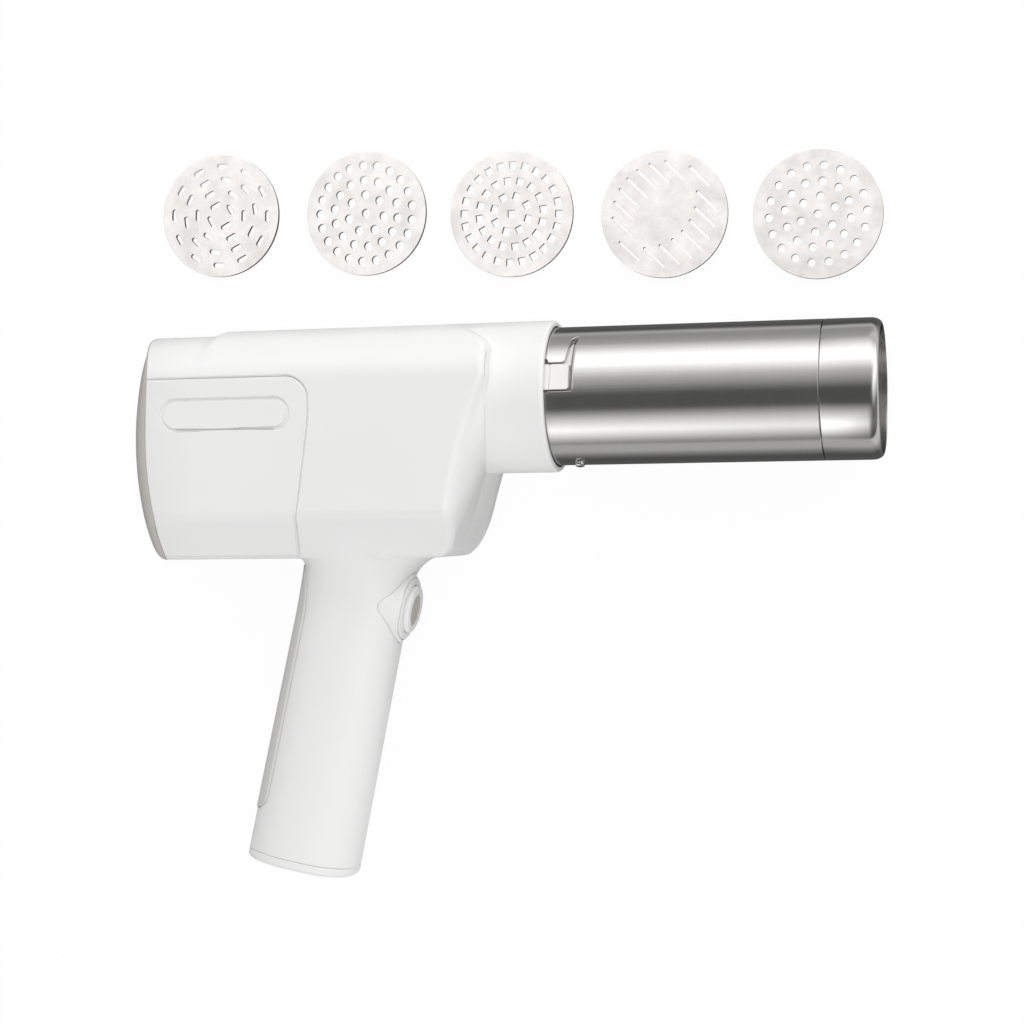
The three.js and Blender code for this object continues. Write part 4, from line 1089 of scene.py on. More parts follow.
def sheet_look(name, tone, rough, angle):
    """Pressed sheet steel, rolled at its own angle, with painted highlights along its edges."""
    graph, surface, place = material(name, {"Metallic": 1.0})
    sheet = graph.group(EFFECTS["sheet"], Vector=place, Roll_angle=angle)
    rim = graph.group(EFFECTS["edges"], Radius=0.0003, Sharpness=4.0)
    base = graph.mix(sheet["Clouds"], scaled(tone, 0.86), scaled(tone, 1.08))
    base = graph.mix(graph.math("MULTIPLY", sheet["Lines"], 0.25), base, scaled(tone, 0.8))
    base = graph.mix(graph.math("MULTIPLY", sheet["Marks"], 0.3), base, scaled(tone, 0.6))
    # Painted highlight: the base colour is made 20% brighter along rounded edges.
    graph.feed(surface["Base Color"], graph.mix(rim["Edge"], base, scaled(tone, 1.2)))
    cloudy = graph.span(sheet["Clouds"], 0.0, 1.0, rough + 0.07, rough - 0.05)
    graph.feed(surface["Roughness"], cloudy)
    graph.feed(surface["Normal"], graph.bump(sheet["Clouds"], rim["Normal"], 0.2, 0.00006))
    return LOOKS[name]


# Operators


class Builder:
    """What the pasta maker's operators share."""

    bl_options = {"REGISTER", "UNDO"}

    @property
    def sizes(self):
        return bpy.context.scene.press_sizes

    @property
    def colours(self):
        return bpy.context.scene.press_colours


class PASTA_OT_finishes(Builder, bpy.types.Operator):
    """Make the shared effects and the finishes of plastic, rubber and metal"""

    bl_idname = "pasta.finishes"
    bl_label = "Finishes"

    def execute(self, context):
        tones = self.colours
        EFFECTS.update(
            grain=moulded_grain(), edges=soft_edges(), turned=turned_brushing(), sheet=pressed_sheet()
        )
        plastic_look("Satin white plastic", tones.body, 0.36)
        plastic_look("Button white plastic", tones.body, 0.3, grain=3200.0, spread=0.006)
        # Painted shade: the rear cap's finish is a darker grey that stands in for the shade at the rear end.
        plastic_look("Warm grey plastic", tones.cap, 0.42)
        plastic_look("Soft grip", tones.grip, 0.62, grain=1800.0, depth=0.00004)
        plastic_look("Off-white plastic", tones.spigot, 0.4)
        plastic_look("Grey inset", tones.icon, 0.45, grain=3000.0)
        plastic_look("Dark plastic", (0.03, 0.031, 0.033, 1), 0.5)
        plastic_look("Silicone seal", (0.55, 0.54, 0.52, 1), 0.7, grain=1500.0)
        plastic_look("Cell sleeve", (0.05, 0.16, 0.34, 1), 0.35, grain=900.0, edge=0.0006)
        plastic_look("Board laminate", (0.02, 0.13, 0.06, 1), 0.45, grain=1400.0)
        steel_look("Brushed barrel steel", tones.steel, 0.2)
        steel_look("Polished nut steel", tones.steel, 0.15, aniso=0.6)
        steel_look("Machined steel", (0.52, 0.51, 0.5, 1), 0.32, lines=2600.0)
        steel_look("Turned brass", (0.72, 0.5, 0.2, 1), 0.28, lines=2600.0)
        steel_look("Zinc-plated can", (0.58, 0.58, 0.56, 1), 0.35, lines=900.0, aniso=0.2)
        for number, angle in enumerate((0.3, 1.1, 0.75, 0.15, 1.4), 1):
            sheet_look(f"Die sheet {number}", tones.die_steel, 0.36, angle)
        return {"FINISHED"}


class PASTA_OT_housing(Builder, bpy.types.Operator):
    """Build the two shells of the housing with their side covers"""

    bl_idname = "pasta.housing"
    bl_label = "Housing"

    def execute(self, context):
        sizes = self.sizes
        outer = mesh_object("outer", housing_outer(sizes))
        collar = mesh_object("collar", rod(COLLAR_REAR, COLLAR_FRONT, COLLAR_RADIUS, 160, COLLAR_ROUND))
        carve(outer, mesh_object("grip", loft(handle_rings(0))), collar, operation="UNION")
        inner = mesh_object("inner", housing_inner())
        end = COLLAR_FRONT + OVERRUN
        bore = mesh_object("bore", rod(0, end, BARREL_RADIUS + FIT, 128))
        mouth = mesh_object("mouth", rod(COLLAR_FRONT - MOUTH_DEPTH, end, BARREL_RADIUS + MOUTH_PLAY, 128))
        carve(inner, bore, mouth, mesh_object("room", handle_inner()), operation="UNION")
        skin = carve(twin(outer, "skin"), twin(inner, "inner_copy"))
        core = mesh_object("core", housing_inner(WALL / 2))
        carve(core, mesh_object("stem", handle_inner(WALL / 2)), operation="UNION")
        for side, hand in ((1, "right"), (-1, "left")):
            self.shell(hand, side, skin, core, sizes)
            self.cover(hand, side, skin, sizes)
        for spare in (outer, inner, skin, core):
            bpy.data.objects.remove(spare)
        return {"FINISHED"}

    def shell(self, hand, side, skin, core, sizes):
        gap = sizes.seam_gap / MM
        reach = HALF_WIDTH + OVERRUN
        low, high = (gap / 2, reach) if side > 0 else (-reach, -gap / 2)
        made = twin(skin, f"{hand}_shell_skin")
        room = np.array(rectangle(240, 290)) - (20, 85)
        for place in SCREWS:
            boss = carve(pin(BOSS_RADIUS, place, low, high), twin(core, "trim"), operation="INTERSECT")
            carve(made, boss, operation="UNION")
        for place in SCREWS:
            hole = pin(SCREW_HOLE, place, -SCREW_SEAT - FIT, SCREW_LENGTH - SCREW_SEAT)
            carve(made, hole, pin(SCREW_WELL, place, -reach, -SCREW_SEAT))
        carve(made, mesh_object("half", prism(room, low, high)), operation="INTERSECT")
        pocket = mesh_object("pocket", loft(handle_rings(-OVERRUN)))
        carve(pocket, strip_block(FIT), operation="INTERSECT")
        carve(pocket, mesh_object("core", loft(handle_rings(STRIP_DEPTH + FIT))))
        carve(
            made,
            bezel_block(gap),
            button_bore(RING_RADIUS + FIT, OVERRUN),
            cover_block(side, FIT / 2 - gap / 2),
            cover_groove(side, sizes),
            pocket,
        )
        finish(made, "press_body", LOOKS["Satin white plastic"], [f"{hand}_shell"])

    def cover(self, hand, side, skin, sizes):
        made = twin(skin, f"{hand}_cover_skin")
        gap = sizes.seam_gap / MM
        carve(made, cover_block(side, FIT / 2 + gap / 2), operation="INTERSECT")
        carve(made, cover_groove(side, sizes), pill_groove(side, sizes))
        finish(made, "press_body", LOOKS["Satin white plastic"], [f"{hand}_side_cover"])


class PASTA_OT_caps(Builder, bpy.types.Operator):
    """Build the rear cap, the handle's base cap, the soft strip and the charging socket"""

    bl_idname = "pasta.caps"
    bl_label = "Caps and strip"

    def execute(self, context):
        softness = self.sizes.corner_softness / MM
        middle = (TOP - BOTTOM) / 2
        peak = (rear_x(middle, 0) - FIT / 2 - CAP_DEPTH, middle, 0)
        rear = mesh_object("rear_cap_skin", loft(cap_rings(0, FIT / 2, softness), None, peak))
        rings = cap_rings(WALL, 0, 1)
        lead = housing_ring(WALL, REAR_TOP_DROP, lambda y, z: rear_x(y, z) + OVERRUN, 1)
        carve(rear, mesh_object("hollow", loft([lead] + rings)))
        finish(rear, "press_body", LOOKS["Warm grey plastic"], ["rear_cap"])
        self.base()
        strip = mesh_object("grip_strip", loft(handle_rings(-STRIP_PROUD)))
        carve(strip, strip_block(0), operation="INTERSECT")
        carve(strip, mesh_object("core", loft(handle_rings(STRIP_DEPTH))))
        finish(strip, "press_body", LOOKS["Soft grip"], ["handle_back_strip"])
        return {"FINISHED"}

    def base(self):
        spots = [(FIT / 2, 0.35), (0.5, 0)]
        for angle in arc(0, 90, 11):
            drop = BASE_HEIGHT - BASE_ROUND * 0.72 * (1 - math.sin(angle))
            spots.append((drop, BASE_ROUND * (1 - math.cos(angle))))
        made = self.below_seam("base_cap_skin", spots)
        hollow = self.below_seam("hollow", [(-OVERRUN, WALL), (BASE_HEIGHT - WALL, WALL + BASE_ROUND / 2)])
        carve(made, hollow, self.port_block(FIT, OVERRUN, PORT_DEPTH))
        finish(made, "press_body", LOOKS["Satin white plastic"], ["handle_base_cap"])
        port = self.port_block(0, 0, PORT_DEPTH)
        carve(port, self.port_block(-PORT_WALL, OVERRUN, PORT_DEPTH - 1.4))
        carve(port, self.port_block(-1.3, -1.2, PORT_DEPTH - 1.4, 1.1), operation="UNION")
        finish(port, "press_body", LOOKS["Dark plastic"], ["charge_socket"])
        port.name = "charging_port"

    def below_seam(self, name, spots):
        """A block through the handle's outline at places below the base seam, each with its inset."""
        return mesh_object(name, loft([handle_ring(-BASE_SEAM - y, inset, BASE_TILT) for y, inset in spots]))

    def port_block(self, gap, below, depth, width=None):
        """A block with round ends that stands in the base, along Y."""
        bottom = -BASE_SEAM - BASE_HEIGHT
        outline = stadium(PORT_LENGTH + 2 * gap, width or 2 * (PORT_HALF_WIDTH + gap), 8)
        x = bottom * math.tan(HANDLE_TILT)
        place = Matrix(((0, 1, 0, x), (0, 0, 1, 0), (1, 0, 0, 0), (0, 0, 0, 1)))
        return mesh_object("port_block", prism(outline, bottom - below, bottom + depth), place)


class PASTA_OT_button(Builder, bpy.types.Operator):
    """Build the bezel, the power button and its inset"""

    bl_idname = "pasta.button"
    bl_label = "Button"

    def execute(self, context):
        self.bezel()
        rear = -RING_DEPTH - FIT
        floor = BUTTON_FRONT - ICON_DEPTH - ICON_SUNK - FIT
        corners = [
            (rear - FLANGE, 0),
            (rear - FLANGE, FLANGE_RADIUS),
            (rear, FLANGE_RADIUS),
            (rear, BUTTON_RADIUS),
            (BUTTON_FRONT - 0.5, BUTTON_RADIUS),
            (BUTTON_FRONT, ICON_RADIUS + 1.6),
            (BUTTON_FRONT - 0.15, ICON_RADIUS + 0.15),
            (floor, ICON_RADIUS + 0.1),
            (floor, 0),
        ]
        profile = soften(corners, [0, 0.4, 0, 0, 1.0, 1.0, 0.3, 0, 0], 6)
        button = mesh_object("button_cap", spin(profile, 96), button_place())
        finish(button, "button", LOOKS["Button white plastic"], ["power_button"])
        front = BUTTON_FRONT - ICON_SUNK
        corners = [
            (front - ICON_DEPTH, 0),
            (front - ICON_DEPTH, ICON_RADIUS),
            (front - 0.15, ICON_RADIUS),
            (front - 0.15, 4.6),
            (front - 0.55, 4.3),
            (front - 0.55, 3.4),
            (front - 0.15, 3.1),
            (front - 0.1, 1.3),
            (front - 0.6, 1.1),
            (front - 0.6, 0),
        ]
        profile = soften(corners, [0, 0, 0.2, 0.1, 0.1, 0.1, 0.1, 0.2, 0.1, 0], 4, False, 0)
        inset = mesh_object("button_inset", spin(profile, 72), button_place())
        finish(inset, "button", LOOKS["Grey inset"], ["button_icon"], 40)
        self.spring()
        return {"FINISHED"}

    def spring(self):
        """The return spring on the switch, behind the button's flange. The real one is pressed flat as the
        button goes in; this one keeps its rest length.
        """
        seat = -RING_DEPTH - FIT - FLANGE - 2 * BUTTON_TRAVEL
        ends = seat + SPRING_WIRE, seat + 2 * BUTTON_TRAVEL - FIT - SPRING_WIRE
        angles = np.linspace(0, 2 * np.pi * SPRING_TURNS, 32 * SPRING_TURNS + 1)
        along = np.linspace(*ends, len(angles))
        path = np.column_stack([along, SPRING_RADIUS * np.cos(angles), SPRING_RADIUS * np.sin(angles)])
        made = mesh_object("return_spring", sweep(path, SPRING_WIRE), button_place())
        finish(made, "press_body", LOOKS["Machined steel"], ["button_spring"], 60)
        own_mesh(made)

    def bezel(self):
        """The handle's surface, drawn up to the button's ring and cut to a rounded diamond."""
        rise = self.sizes.bezel_rise / MM
        start = np.array(button_place().translation)
        ahead = np.array((math.cos(HANDLE_TILT), -math.sin(HANDLE_TILT), 0))
        level = np.array((math.sin(HANDLE_TILT), math.cos(HANDLE_TILT), 0))
        outline = bezel_outline(0)
        turns = np.arctan2(outline[:, 1], outline[:, 0])
        order = np.argsort(turns)
        reaches = np.hypot(outline[:, 0], outline[:, 1])[order]
        rings = []
        for y in np.linspace(-66, -120, 109):
            ring = handle_ring(y, 0, 0.0, 256)
            local = ring - start
            depth, up, across = local @ ahead, local @ level, local[:, 2]
            away = np.hypot(up, across)
            edge = np.interp(np.arctan2(across, up), turns[order], reaches, period=2 * np.pi)
            t = np.clip((edge - away) / (edge - RING_RADIUS), 0, 1) * (depth > -20)
            lift = 0.12 + np.maximum(RING_FRONT - 0.5 - depth, 0) * (t * rise / BEZEL_RISE) ** 0.85
            rings.append(ring + ahead * lift[:, None])
        made = mesh_object("bezel_skin", loft(rings))
        carve(made, bezel_block(-0.05), operation="INTERSECT")
        carve(made, mesh_object("core", loft(handle_rings(WALL))))
        ring = soften(band(-RING_DEPTH, RING_FRONT, 0, RING_RADIUS), [0, 0, 0.9, 0])
        carve(made, mesh_object("ring", spin(ring, 96), button_place()), operation="UNION")
        line = band(0.8, OVERRUN, RING_RADIUS - 0.15, RING_RADIUS + 0.15)
        carve(made, mesh_object("line", spin(line, 96), button_place()))
        bore = button_bore(BUTTON_RADIUS + 0.25, OVERRUN + 3)
        carve(made, bore, button_bore(FLANGE_RADIUS + 0.4, -RING_DEPTH))
        finish(made, "press_body", LOOKS["Satin white plastic"], ["trigger_bezel"])


class PASTA_OT_barrel(Builder, bpy.types.Operator):
    """Build the barrel's socket with its key, the barrel with its slot and stud, and the nozzle nut"""

    bl_idname = "pasta.barrel"
    bl_label = "Barrel"

    def execute(self, context):
        self.socket()
        self.tube()
        self.nut()
        return {"FINISHED"}

    def socket(self):
        corners = [
            (SOCKET_REAR, SPIGOT_BORE),
            (SOCKET_REAR, BARREL_RADIUS),
            (SOCKET_FLANGE, BARREL_RADIUS),
            (SOCKET_FLANGE, SPIGOT_RADIUS),
            (SPIGOT_FRONT, SPIGOT_RADIUS),
            (SPIGOT_FRONT, 0),
            (SPIGOT_FRONT - 4, 0),
            (SPIGOT_FRONT - 4, SPIGOT_BORE),
        ]
        profile = soften(corners, [0, 0, 0, 0.5, 0.8, 0, 0, 0], 5)
        made = mesh_object("barrel_socket_skin", spin(profile, 128))
        low, high = KEY_FROM + SLOT_PLAY, KEY_TO - SLOT_PLAY
        outline = [(x, angle) for angle, x in band(low, high, SOCKET_FLANGE - FIT, KEY_FRONT)]
        above = BARREL_RADIUS + 3
        moat = wrap(fill_wrapped(grown(outline, 0.7)), SPIGOT_BORE + 1, above)
        carve(made, mesh_object("moat", moat))
        key = wrap(round_wrapped(outline, [0, 1.6, 1.6, 0]), SPIGOT_BORE + 0.5, BARREL_RADIUS)
        carve(made, mesh_object("key", key), operation="UNION")
        angles = np.linspace(0, 2 * np.pi, 49)[:-1]
        round_y, round_z = ROD_HOLE * np.cos(angles), ROD_HOLE * np.sin(angles)
        flat = np.column_stack([round_y, np.clip(round_z, -ROD_FLAT, ROD_FLAT)])
        hole = mesh_object("hole", prism(flat, SPIGOT_FRONT - 9, SPIGOT_FRONT + 5, "x"))
        ends = (KEY_STEP, KEY_STEP + KEY_STEP_WIDTH)
        step = [(x, angle) for angle, x in band(KEY_FROM - 0.1, KEY_TO + 0.1, *ends)]
        carve(made, hole, mesh_object("step", wrap(fill_wrapped(step), BARREL_RADIUS - 0.5, above)))
        finish(made, "press_body", LOOKS["Off-white plastic"], ["barrel_socket"])

    def tube(self):
        neck_end = SHOULDER + NECK_LENGTH
        depth = self.sizes.thread_depth / MM
        corners = [
            (BARREL_REAR, BARREL_BORE),
            (BARREL_REAR, BARREL_RADIUS),
            (SHOULDER, BARREL_RADIUS),
            (SHOULDER, NECK_RADIUS),
        ]
        profile = soften(corners, [0.3, 0.3, 0.3, 0.3], 4)
        profile += [(x, NECK_RADIUS) for x in np.arange(SHOULDER + 1.5, neck_end, 0.25)]
        profile += [(neck_end, NECK_RADIUS - 0.4), (neck_end, BARREL_BORE)]
        made = mesh_object("barrel_skin", spin(profile, 144, thread(SHOULDER + 1.5, neck_end - 1, -depth)))
        low, high, flared = KEY_FROM - SLOT_PLAY, KEY_TO + SLOT_PLAY, 0.06
        leg = [
            (BARREL_REAR - OVERRUN, low - flared),
            (COLLAR_FRONT + 0.6, low - flared),
            (COLLAR_FRONT + 1.4, low),
            (SLOT_FRONT, low),
            (SLOT_FRONT, KEY_TO + 0.1),
            (SLOT_FRONT + 0.2, SLOT_REACH),
            (SLOT_FRONT - 2.4, SLOT_REACH - 0.07),
            (SLOT_FRONT - 4.4, high),
            (COLLAR_FRONT + 1.4, high),
            (COLLAR_FRONT + 0.6, high + flared),
            (BARREL_REAR - OVERRUN, high + flared),
        ]
        outline = round_wrapped(leg, [0, 0.4, 0.4, 2.2, 2, 0.6, 1.0, 1.6, 0.4, 0.4, 0])
        slot = wrap(outline, BARREL_BORE - OVERRUN, BARREL_RADIUS + OVERRUN, 0.2)
        carve(made, mesh_object("slot", slot))
        finish(made, "barrel", LOOKS["Brushed barrel steel"], ["barrel_tube"])
        self.stud()

    def stud(self):
        corners = band(BARREL_BORE + FIT, BARREL_RADIUS + STUD_PROUD, 0, STUD_RADIUS)
        turn = Matrix.Rotation(-STUD_TURN, 4, "X") @ Matrix.Rotation(-math.pi / 2, 4, "Z")
        place = Matrix.Translation((STUD_X, 0, 0)) @ turn
        stud = mesh_object("barrel_stud_skin", spin(soften(corners, [0, 0, 1.5, 0], 8), 40), place)
        finish(stud, "barrel", LOOKS["Polished nut steel"], ["barrel_stud"])

    def nut(self):
        rear = SHOULDER + FIT
        front = rear + NUT_LENGTH
        seat = FITTED_DIE_REAR + DIE_THICKNESS + FIT
        depth = self.sizes.thread_depth / MM
        edge = [(0, BARREL_RADIUS - 0.35), (0.1, BARREL_RADIUS - 0.1), (0.35, BARREL_RADIUS)]
        profile = [(rear, NUT_BORE + FIT)]
        profile += [(rear + x, radius) for x, radius in edge]
        for angle in arc(0, 90, 13):
            x = front - NUT_ROUND * (1 - math.sin(angle))
            profile.append((x, BARREL_RADIUS - NUT_DROP * (1 - math.cos(angle))))
        lip = [profile[-1], (front, NUT_MOUTH), (seat, NUT_MOUTH), (seat, NUT_BORE)]
        profile += soften(lip, [0, 0.25, 0.2, 0], 4)[1:]
        profile += [(x, NUT_BORE) for x in np.arange(seat - 0.5, rear + 0.5, -0.25)]
        wound = thread(rear + 1, seat - 3, depth * 0.6, NUT_BORE)
        made = mesh_object("nozzle_nut_skin", spin(profile, 144, wound))
        finish(made, "nut", LOOKS["Polished nut steel"], ["nozzle_nut"])


def thread(low, high, depth, only=None):
    """A change of radius that winds a thread along the X axis between two places."""

    def change(x, radii, angle):
        on = (x > low) & (x < high)
        if only is not None:
            on &= np.abs(radii - only) < 0.01
        wave = np.abs(((x - low) / THREAD_PITCH - angle / (2 * np.pi)) % 1 - 0.5) * 2
        fade = np.clip(np.minimum(x - low, high - x) / 0.8, 0, 1)
        return np.where(on, depth * np.clip(wave * 1.6 - 0.3, 0, 1) * fade, 0.0)

    return change


def fill_wrapped(outline, step=0.06):
    """Adds points so that no edge of an (x, angle) outline turns far round the axis at once."""
    filled = []
    for here, after in zip(outline, list(outline[1:]) + [outline[0]]):
        here, after = np.asarray(here, float), np.asarray(after, float)
        count = max(int(abs(after[1] - here[1]) / step), 1)
        filled += [here + (after - here) * i / count for i in range(count)]
    return filled


def round_wrapped(outline, reaches):
    flat = [(x, angle * BARREL_RADIUS) for x, angle in outline]
    rounded = soften(flat, reaches, 5, True, 0)
    return fill_wrapped([(x, along / BARREL_RADIUS) for x, along in rounded])


class PASTA_OT_dies(Builder, bpy.types.Operator):
    """Build the five loose dies and the fitted one, with their patterns of holes"""

    bl_idname = "pasta.dies"
    bl_label = "Dies"

    def execute(self, context):
        plate = die_tree()
        for number, (kind, rings) in enumerate(DIE_PATTERNS, 1):
            spots = slot_spots() if kind == "long" else ring_spots(rings)
            made = self.plate(plate, f"die_plate_{number}", spots, HOLES[kind], number)
            middle = (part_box(f"die_{number}")[0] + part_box(f"die_{number}")[1]) / 2
            made.data.transform(Matrix.Translation((middle.x, middle.y, 0)))
            made.visible_glossy = False
            look = LOOKS[f"Die sheet {number}"]
            finish(made, f"loose_die_{number}", look, [f"die_{number}"])
        made = self.plate(plate, "fitted_plate", ring_spots(FITTED_RINGS), HOLES["fitted"], 5)
        x = FITTED_DIE_REAR * MM
        made.data.transform(Matrix(((0, 0, 1, x), (1, 0, 0, 0), (0, 1, 0, PRESS_Z), (0, 0, 0, 1))))
        finish(made, "die_plate", LOOKS["Die sheet 5"], ["fitted_die"])
        return {"FINISHED"}

    def plate(self, tree, name, spots, hole, number):
        """Punches a plate through its hole places with the die tree."""
        mesh = bpy.data.meshes.new(name)
        mesh.from_pydata([(x * MM, y * MM, 0) for x, y, _ in spots], [], [])
        turn = mesh.attributes.new("turn", "FLOAT", "POINT")
        turn.data.foreach_set("value", [t for _, _, t in spots])
        made = bpy.data.objects.new(name, mesh)
        bpy.context.scene.collection.objects.link(made)
        values = {
            "Radius": DIE_RADIUS * MM,
            "Thickness": DIE_THICKNESS * MM,
            "Hole length": hole[0] * MM,
            "Hole width": hole[1] * MM,
            "Hole corner": hole[2] * MM,
            "Material": LOOKS[f"Die sheet {number}"],
        }
        return give(made, tree, values)


DIE_PATTERNS = [
    ("slot", [(12, 0.81, -3), (10, 0.6, -10), (6, 0.4, 27), (4, 0.19, 28)]),
    ("round", [(21, 0.777, 3), (14, 0.535, 3), (7, 0.3, 2), (1, 0, 0)]),
    ("square", [(24, 0.775, -2.5), (16, 0.525, 6), (8, 0.287, 27), (1, 0, 0)]),
    ("long", []),
    ("fine", [(18, 0.755, 12), (12, 0.512, -9), (6, 0.28, -9), (1, 0, 0)]),
]
FITTED_RINGS = [(10, 0.7, 0), (5, 0.34, 15), (1, 0, 0)]
HOLES = {
    "slot": (5.5, 2.2, 1.09),
    "round": (4.1, 4.1, 2.04),
    "square": (3.4, 3.4, 0.35),
    "long": (12.8, 1.3, 0.64),
    "fine": (3.5, 3.5, 1.74),
    "fitted": (4.8, 4.8, 2.39),
}


def ring_spots(rings):
    """Places of holes in rings, as (x, y, turn)."""
    spots = []
    for count, ring, first in rings:
        for i in range(count):
            turn = math.radians(first) + 2 * math.pi * i / count
            radius = ring * DIE_RADIUS
            spots.append((-radius * math.sin(turn), radius * math.cos(turn), turn))
    return spots


def slot_spots():
    """Places of the long parallel slots, each row ending near the rim."""
    turn = math.radians(-45)
    spots = []
    for row in range(-4, 5):
        offset = row * 0.2 * DIE_RADIUS
        outer = math.sqrt(max((0.83 * DIE_RADIUS) ** 2 - offset**2, 0))
        end = outer - LONG_SLOT_MIDDLE
        for place in [0] if abs(row) == 4 else [-end, end]:
            x = place * math.cos(turn) - offset * math.sin(turn)
            y = place * math.sin(turn) + offset * math.cos(turn)
            spots.append((x, y, turn))
    return spots


def die_tree():
    """A plate punched with one hole at each point of its mesh, turned by the point's attribute."""
    lengths = ("Radius", "Thickness", "Hole length", "Hole width", "Hole corner")
    inputs = [("Geometry", SHAPE, None)]
    inputs += [(label, VALUE, None) for label in lengths]
    inputs += [("Material", MATERIAL, None)]
    tree, graph, given, out = node_group(
        "Punched plate", "GeometryNodeTree", inputs, [("Geometry", SHAPE)]
    )
    for item in tree.interface.items_tree:
        if item.name in lengths:
            item.subtype = "DISTANCE"
    sides = {"Width": given["Hole length"], "Height": given["Hole width"]}
    hole = graph.out("GeometryNodeCurvePrimitiveQuadrilateral", sides)
    corner = {"Curve": hole, "Count": 6, "Radius": given["Hole corner"]}
    hole = graph.out("GeometryNodeFilletCurve", corner, mode="POLY")
    turn = graph.add("GeometryNodeInputNamedAttribute", {"Name": "turn"}, data_type="FLOAT")
    euler = graph.out("ShaderNodeCombineXYZ", {"Z": turn.outputs["Attribute"]})
    spots = {"Points": given["Geometry"], "Instance": hole, "Rotation": euler}
    holes = graph.out("GeometryNodeInstanceOnPoints", spots)
    holes = graph.out("GeometryNodeRealizeInstances", {0: holes})
    circle = {"Resolution": 160, "Radius": given["Radius"]}
    rim = graph.out("GeometryNodeCurvePrimitiveCircle", circle)
    face = graph.out("GeometryNodeFillCurve", {0: graph.join(holes, rim)})
    rise = {"Mesh": face, "Offset Scale": given["Thickness"], "Individual": False}
    raised = graph.out("GeometryNodeExtrudeMesh", rise)
    both = graph.join(raised, graph.out("GeometryNodeFlipFaces", {0: face}))
    solid = graph.out("GeometryNodeMergeByDistance", {0: both, "Distance": 1e-6})
    graph.feed(out["Geometry"], graph.finished(solid, given["Material"]))
    return tree


class PASTA_OT_screws(Builder, bpy.types.Operator):
    """Set the five shell screws into their wells"""

    bl_idname = "pasta.screws"
    bl_label = "Shell screws"

    def execute(self, context):
        pattern = self.one_screw()
        mesh = bpy.data.meshes.new("shell_screws")
        z = PRESS_Z - (SCREW_SEAT + FIT) * MM
        mesh.from_pydata([(x * MM, y * MM, z) for x, y in SCREWS], [], [])
        made = bpy.data.objects.new("shell_screws", mesh)
        bpy.context.scene.collection.objects.link(made)
        give(made, scatter_tree(), {"Screw": pattern, "Material": LOOKS["Machined steel"]})
        bpy.data.objects.remove(pattern)
        nodes = [f"shell_screw_{i + 1}" for i in range(len(SCREWS))]
        finish(made, "press_body", LOOKS["Machined steel"], nodes)
        return {"FINISHED"}

    def one_screw(self):
        """A pan head with a cross recess and a plain shank, its seat at the origin."""
        head = band(-2, 0, 0, SCREW_HEAD)[:3]
        shank = band(0, SCREW_LENGTH, 0, SCREW_RADIUS)[1:]
        profile = soften(head + shank, [0, 0.9, 0, 0, 0.5, 0], 5)
        screw = mesh_object("screw", spin(profile, 32), Matrix.Rotation(-math.pi / 2, 4, "Y"))
        for sides in (SCREW_CROSS, SCREW_CROSS[::-1]):
            carve(screw, mesh_object("slot", prism(rectangle(*sides), -3, -0.9)))
        screw.data.transform(Matrix.Translation((0, 0, -PRESS_Z)))
        return screw


def scatter_tree():
    """Stands one object on each point of a mesh."""
    tree, graph, given, out = node_group(
        "Screws in wells",
        "GeometryNodeTree",
        [("Geometry", SHAPE, None), ("Screw", OBJECT, None), ("Material", MATERIAL, None)],
        [("Geometry", SHAPE)],
    )
    one = graph.add("GeometryNodeObjectInfo", {"Object": given["Screw"]}).outputs["Geometry"]
    spots = {"Points": given["Geometry"], "Instance": one}
    spread = graph.out("GeometryNodeInstanceOnPoints", spots)
    graph.feed(out["Geometry"], graph.finished(spread, given["Material"]))
    return tree


INNER_LOOKS = {
    "Machined steel": ["output_pinion", "planet_carrier", "ring_gear", "motor_rotor"]
    + ["front_bearing", "rear_bearing"],
    "Turned brass": ["drive_nut", "sun_gear", "planet_gear_1", "planet_gear_2", "planet_gear_3"],
    "Zinc-plated can": ["motor_can"],
    "Dark plastic": ["push_rod", "front_bulkhead", "rear_bulkhead", "drive_gear", "motor_end_bell"]
    + ["battery_holder", "micro_switch"],
    "Cell sleeve": ["battery_cell_1", "battery_cell_2"],
    "Board laminate": ["control_board"],
    "Off-white plastic": ["piston_head"],
    "Silicone seal": ["piston_seal"],
}


class PASTA_OT_drive(Builder, bpy.types.Operator):
    """Give the piston, gears, motor, battery and board their finishes"""

    bl_idname = "pasta.drive"
    bl_label = "Drive and battery"

    def execute(self, context):
        for look, nodes in INNER_LOOKS.items():
            for node in nodes:
                part = frame["nodes"][node]
                part.data.materials.clear()
                part.data.materials.append(LOOKS[look])
        return {"FINISHED"}


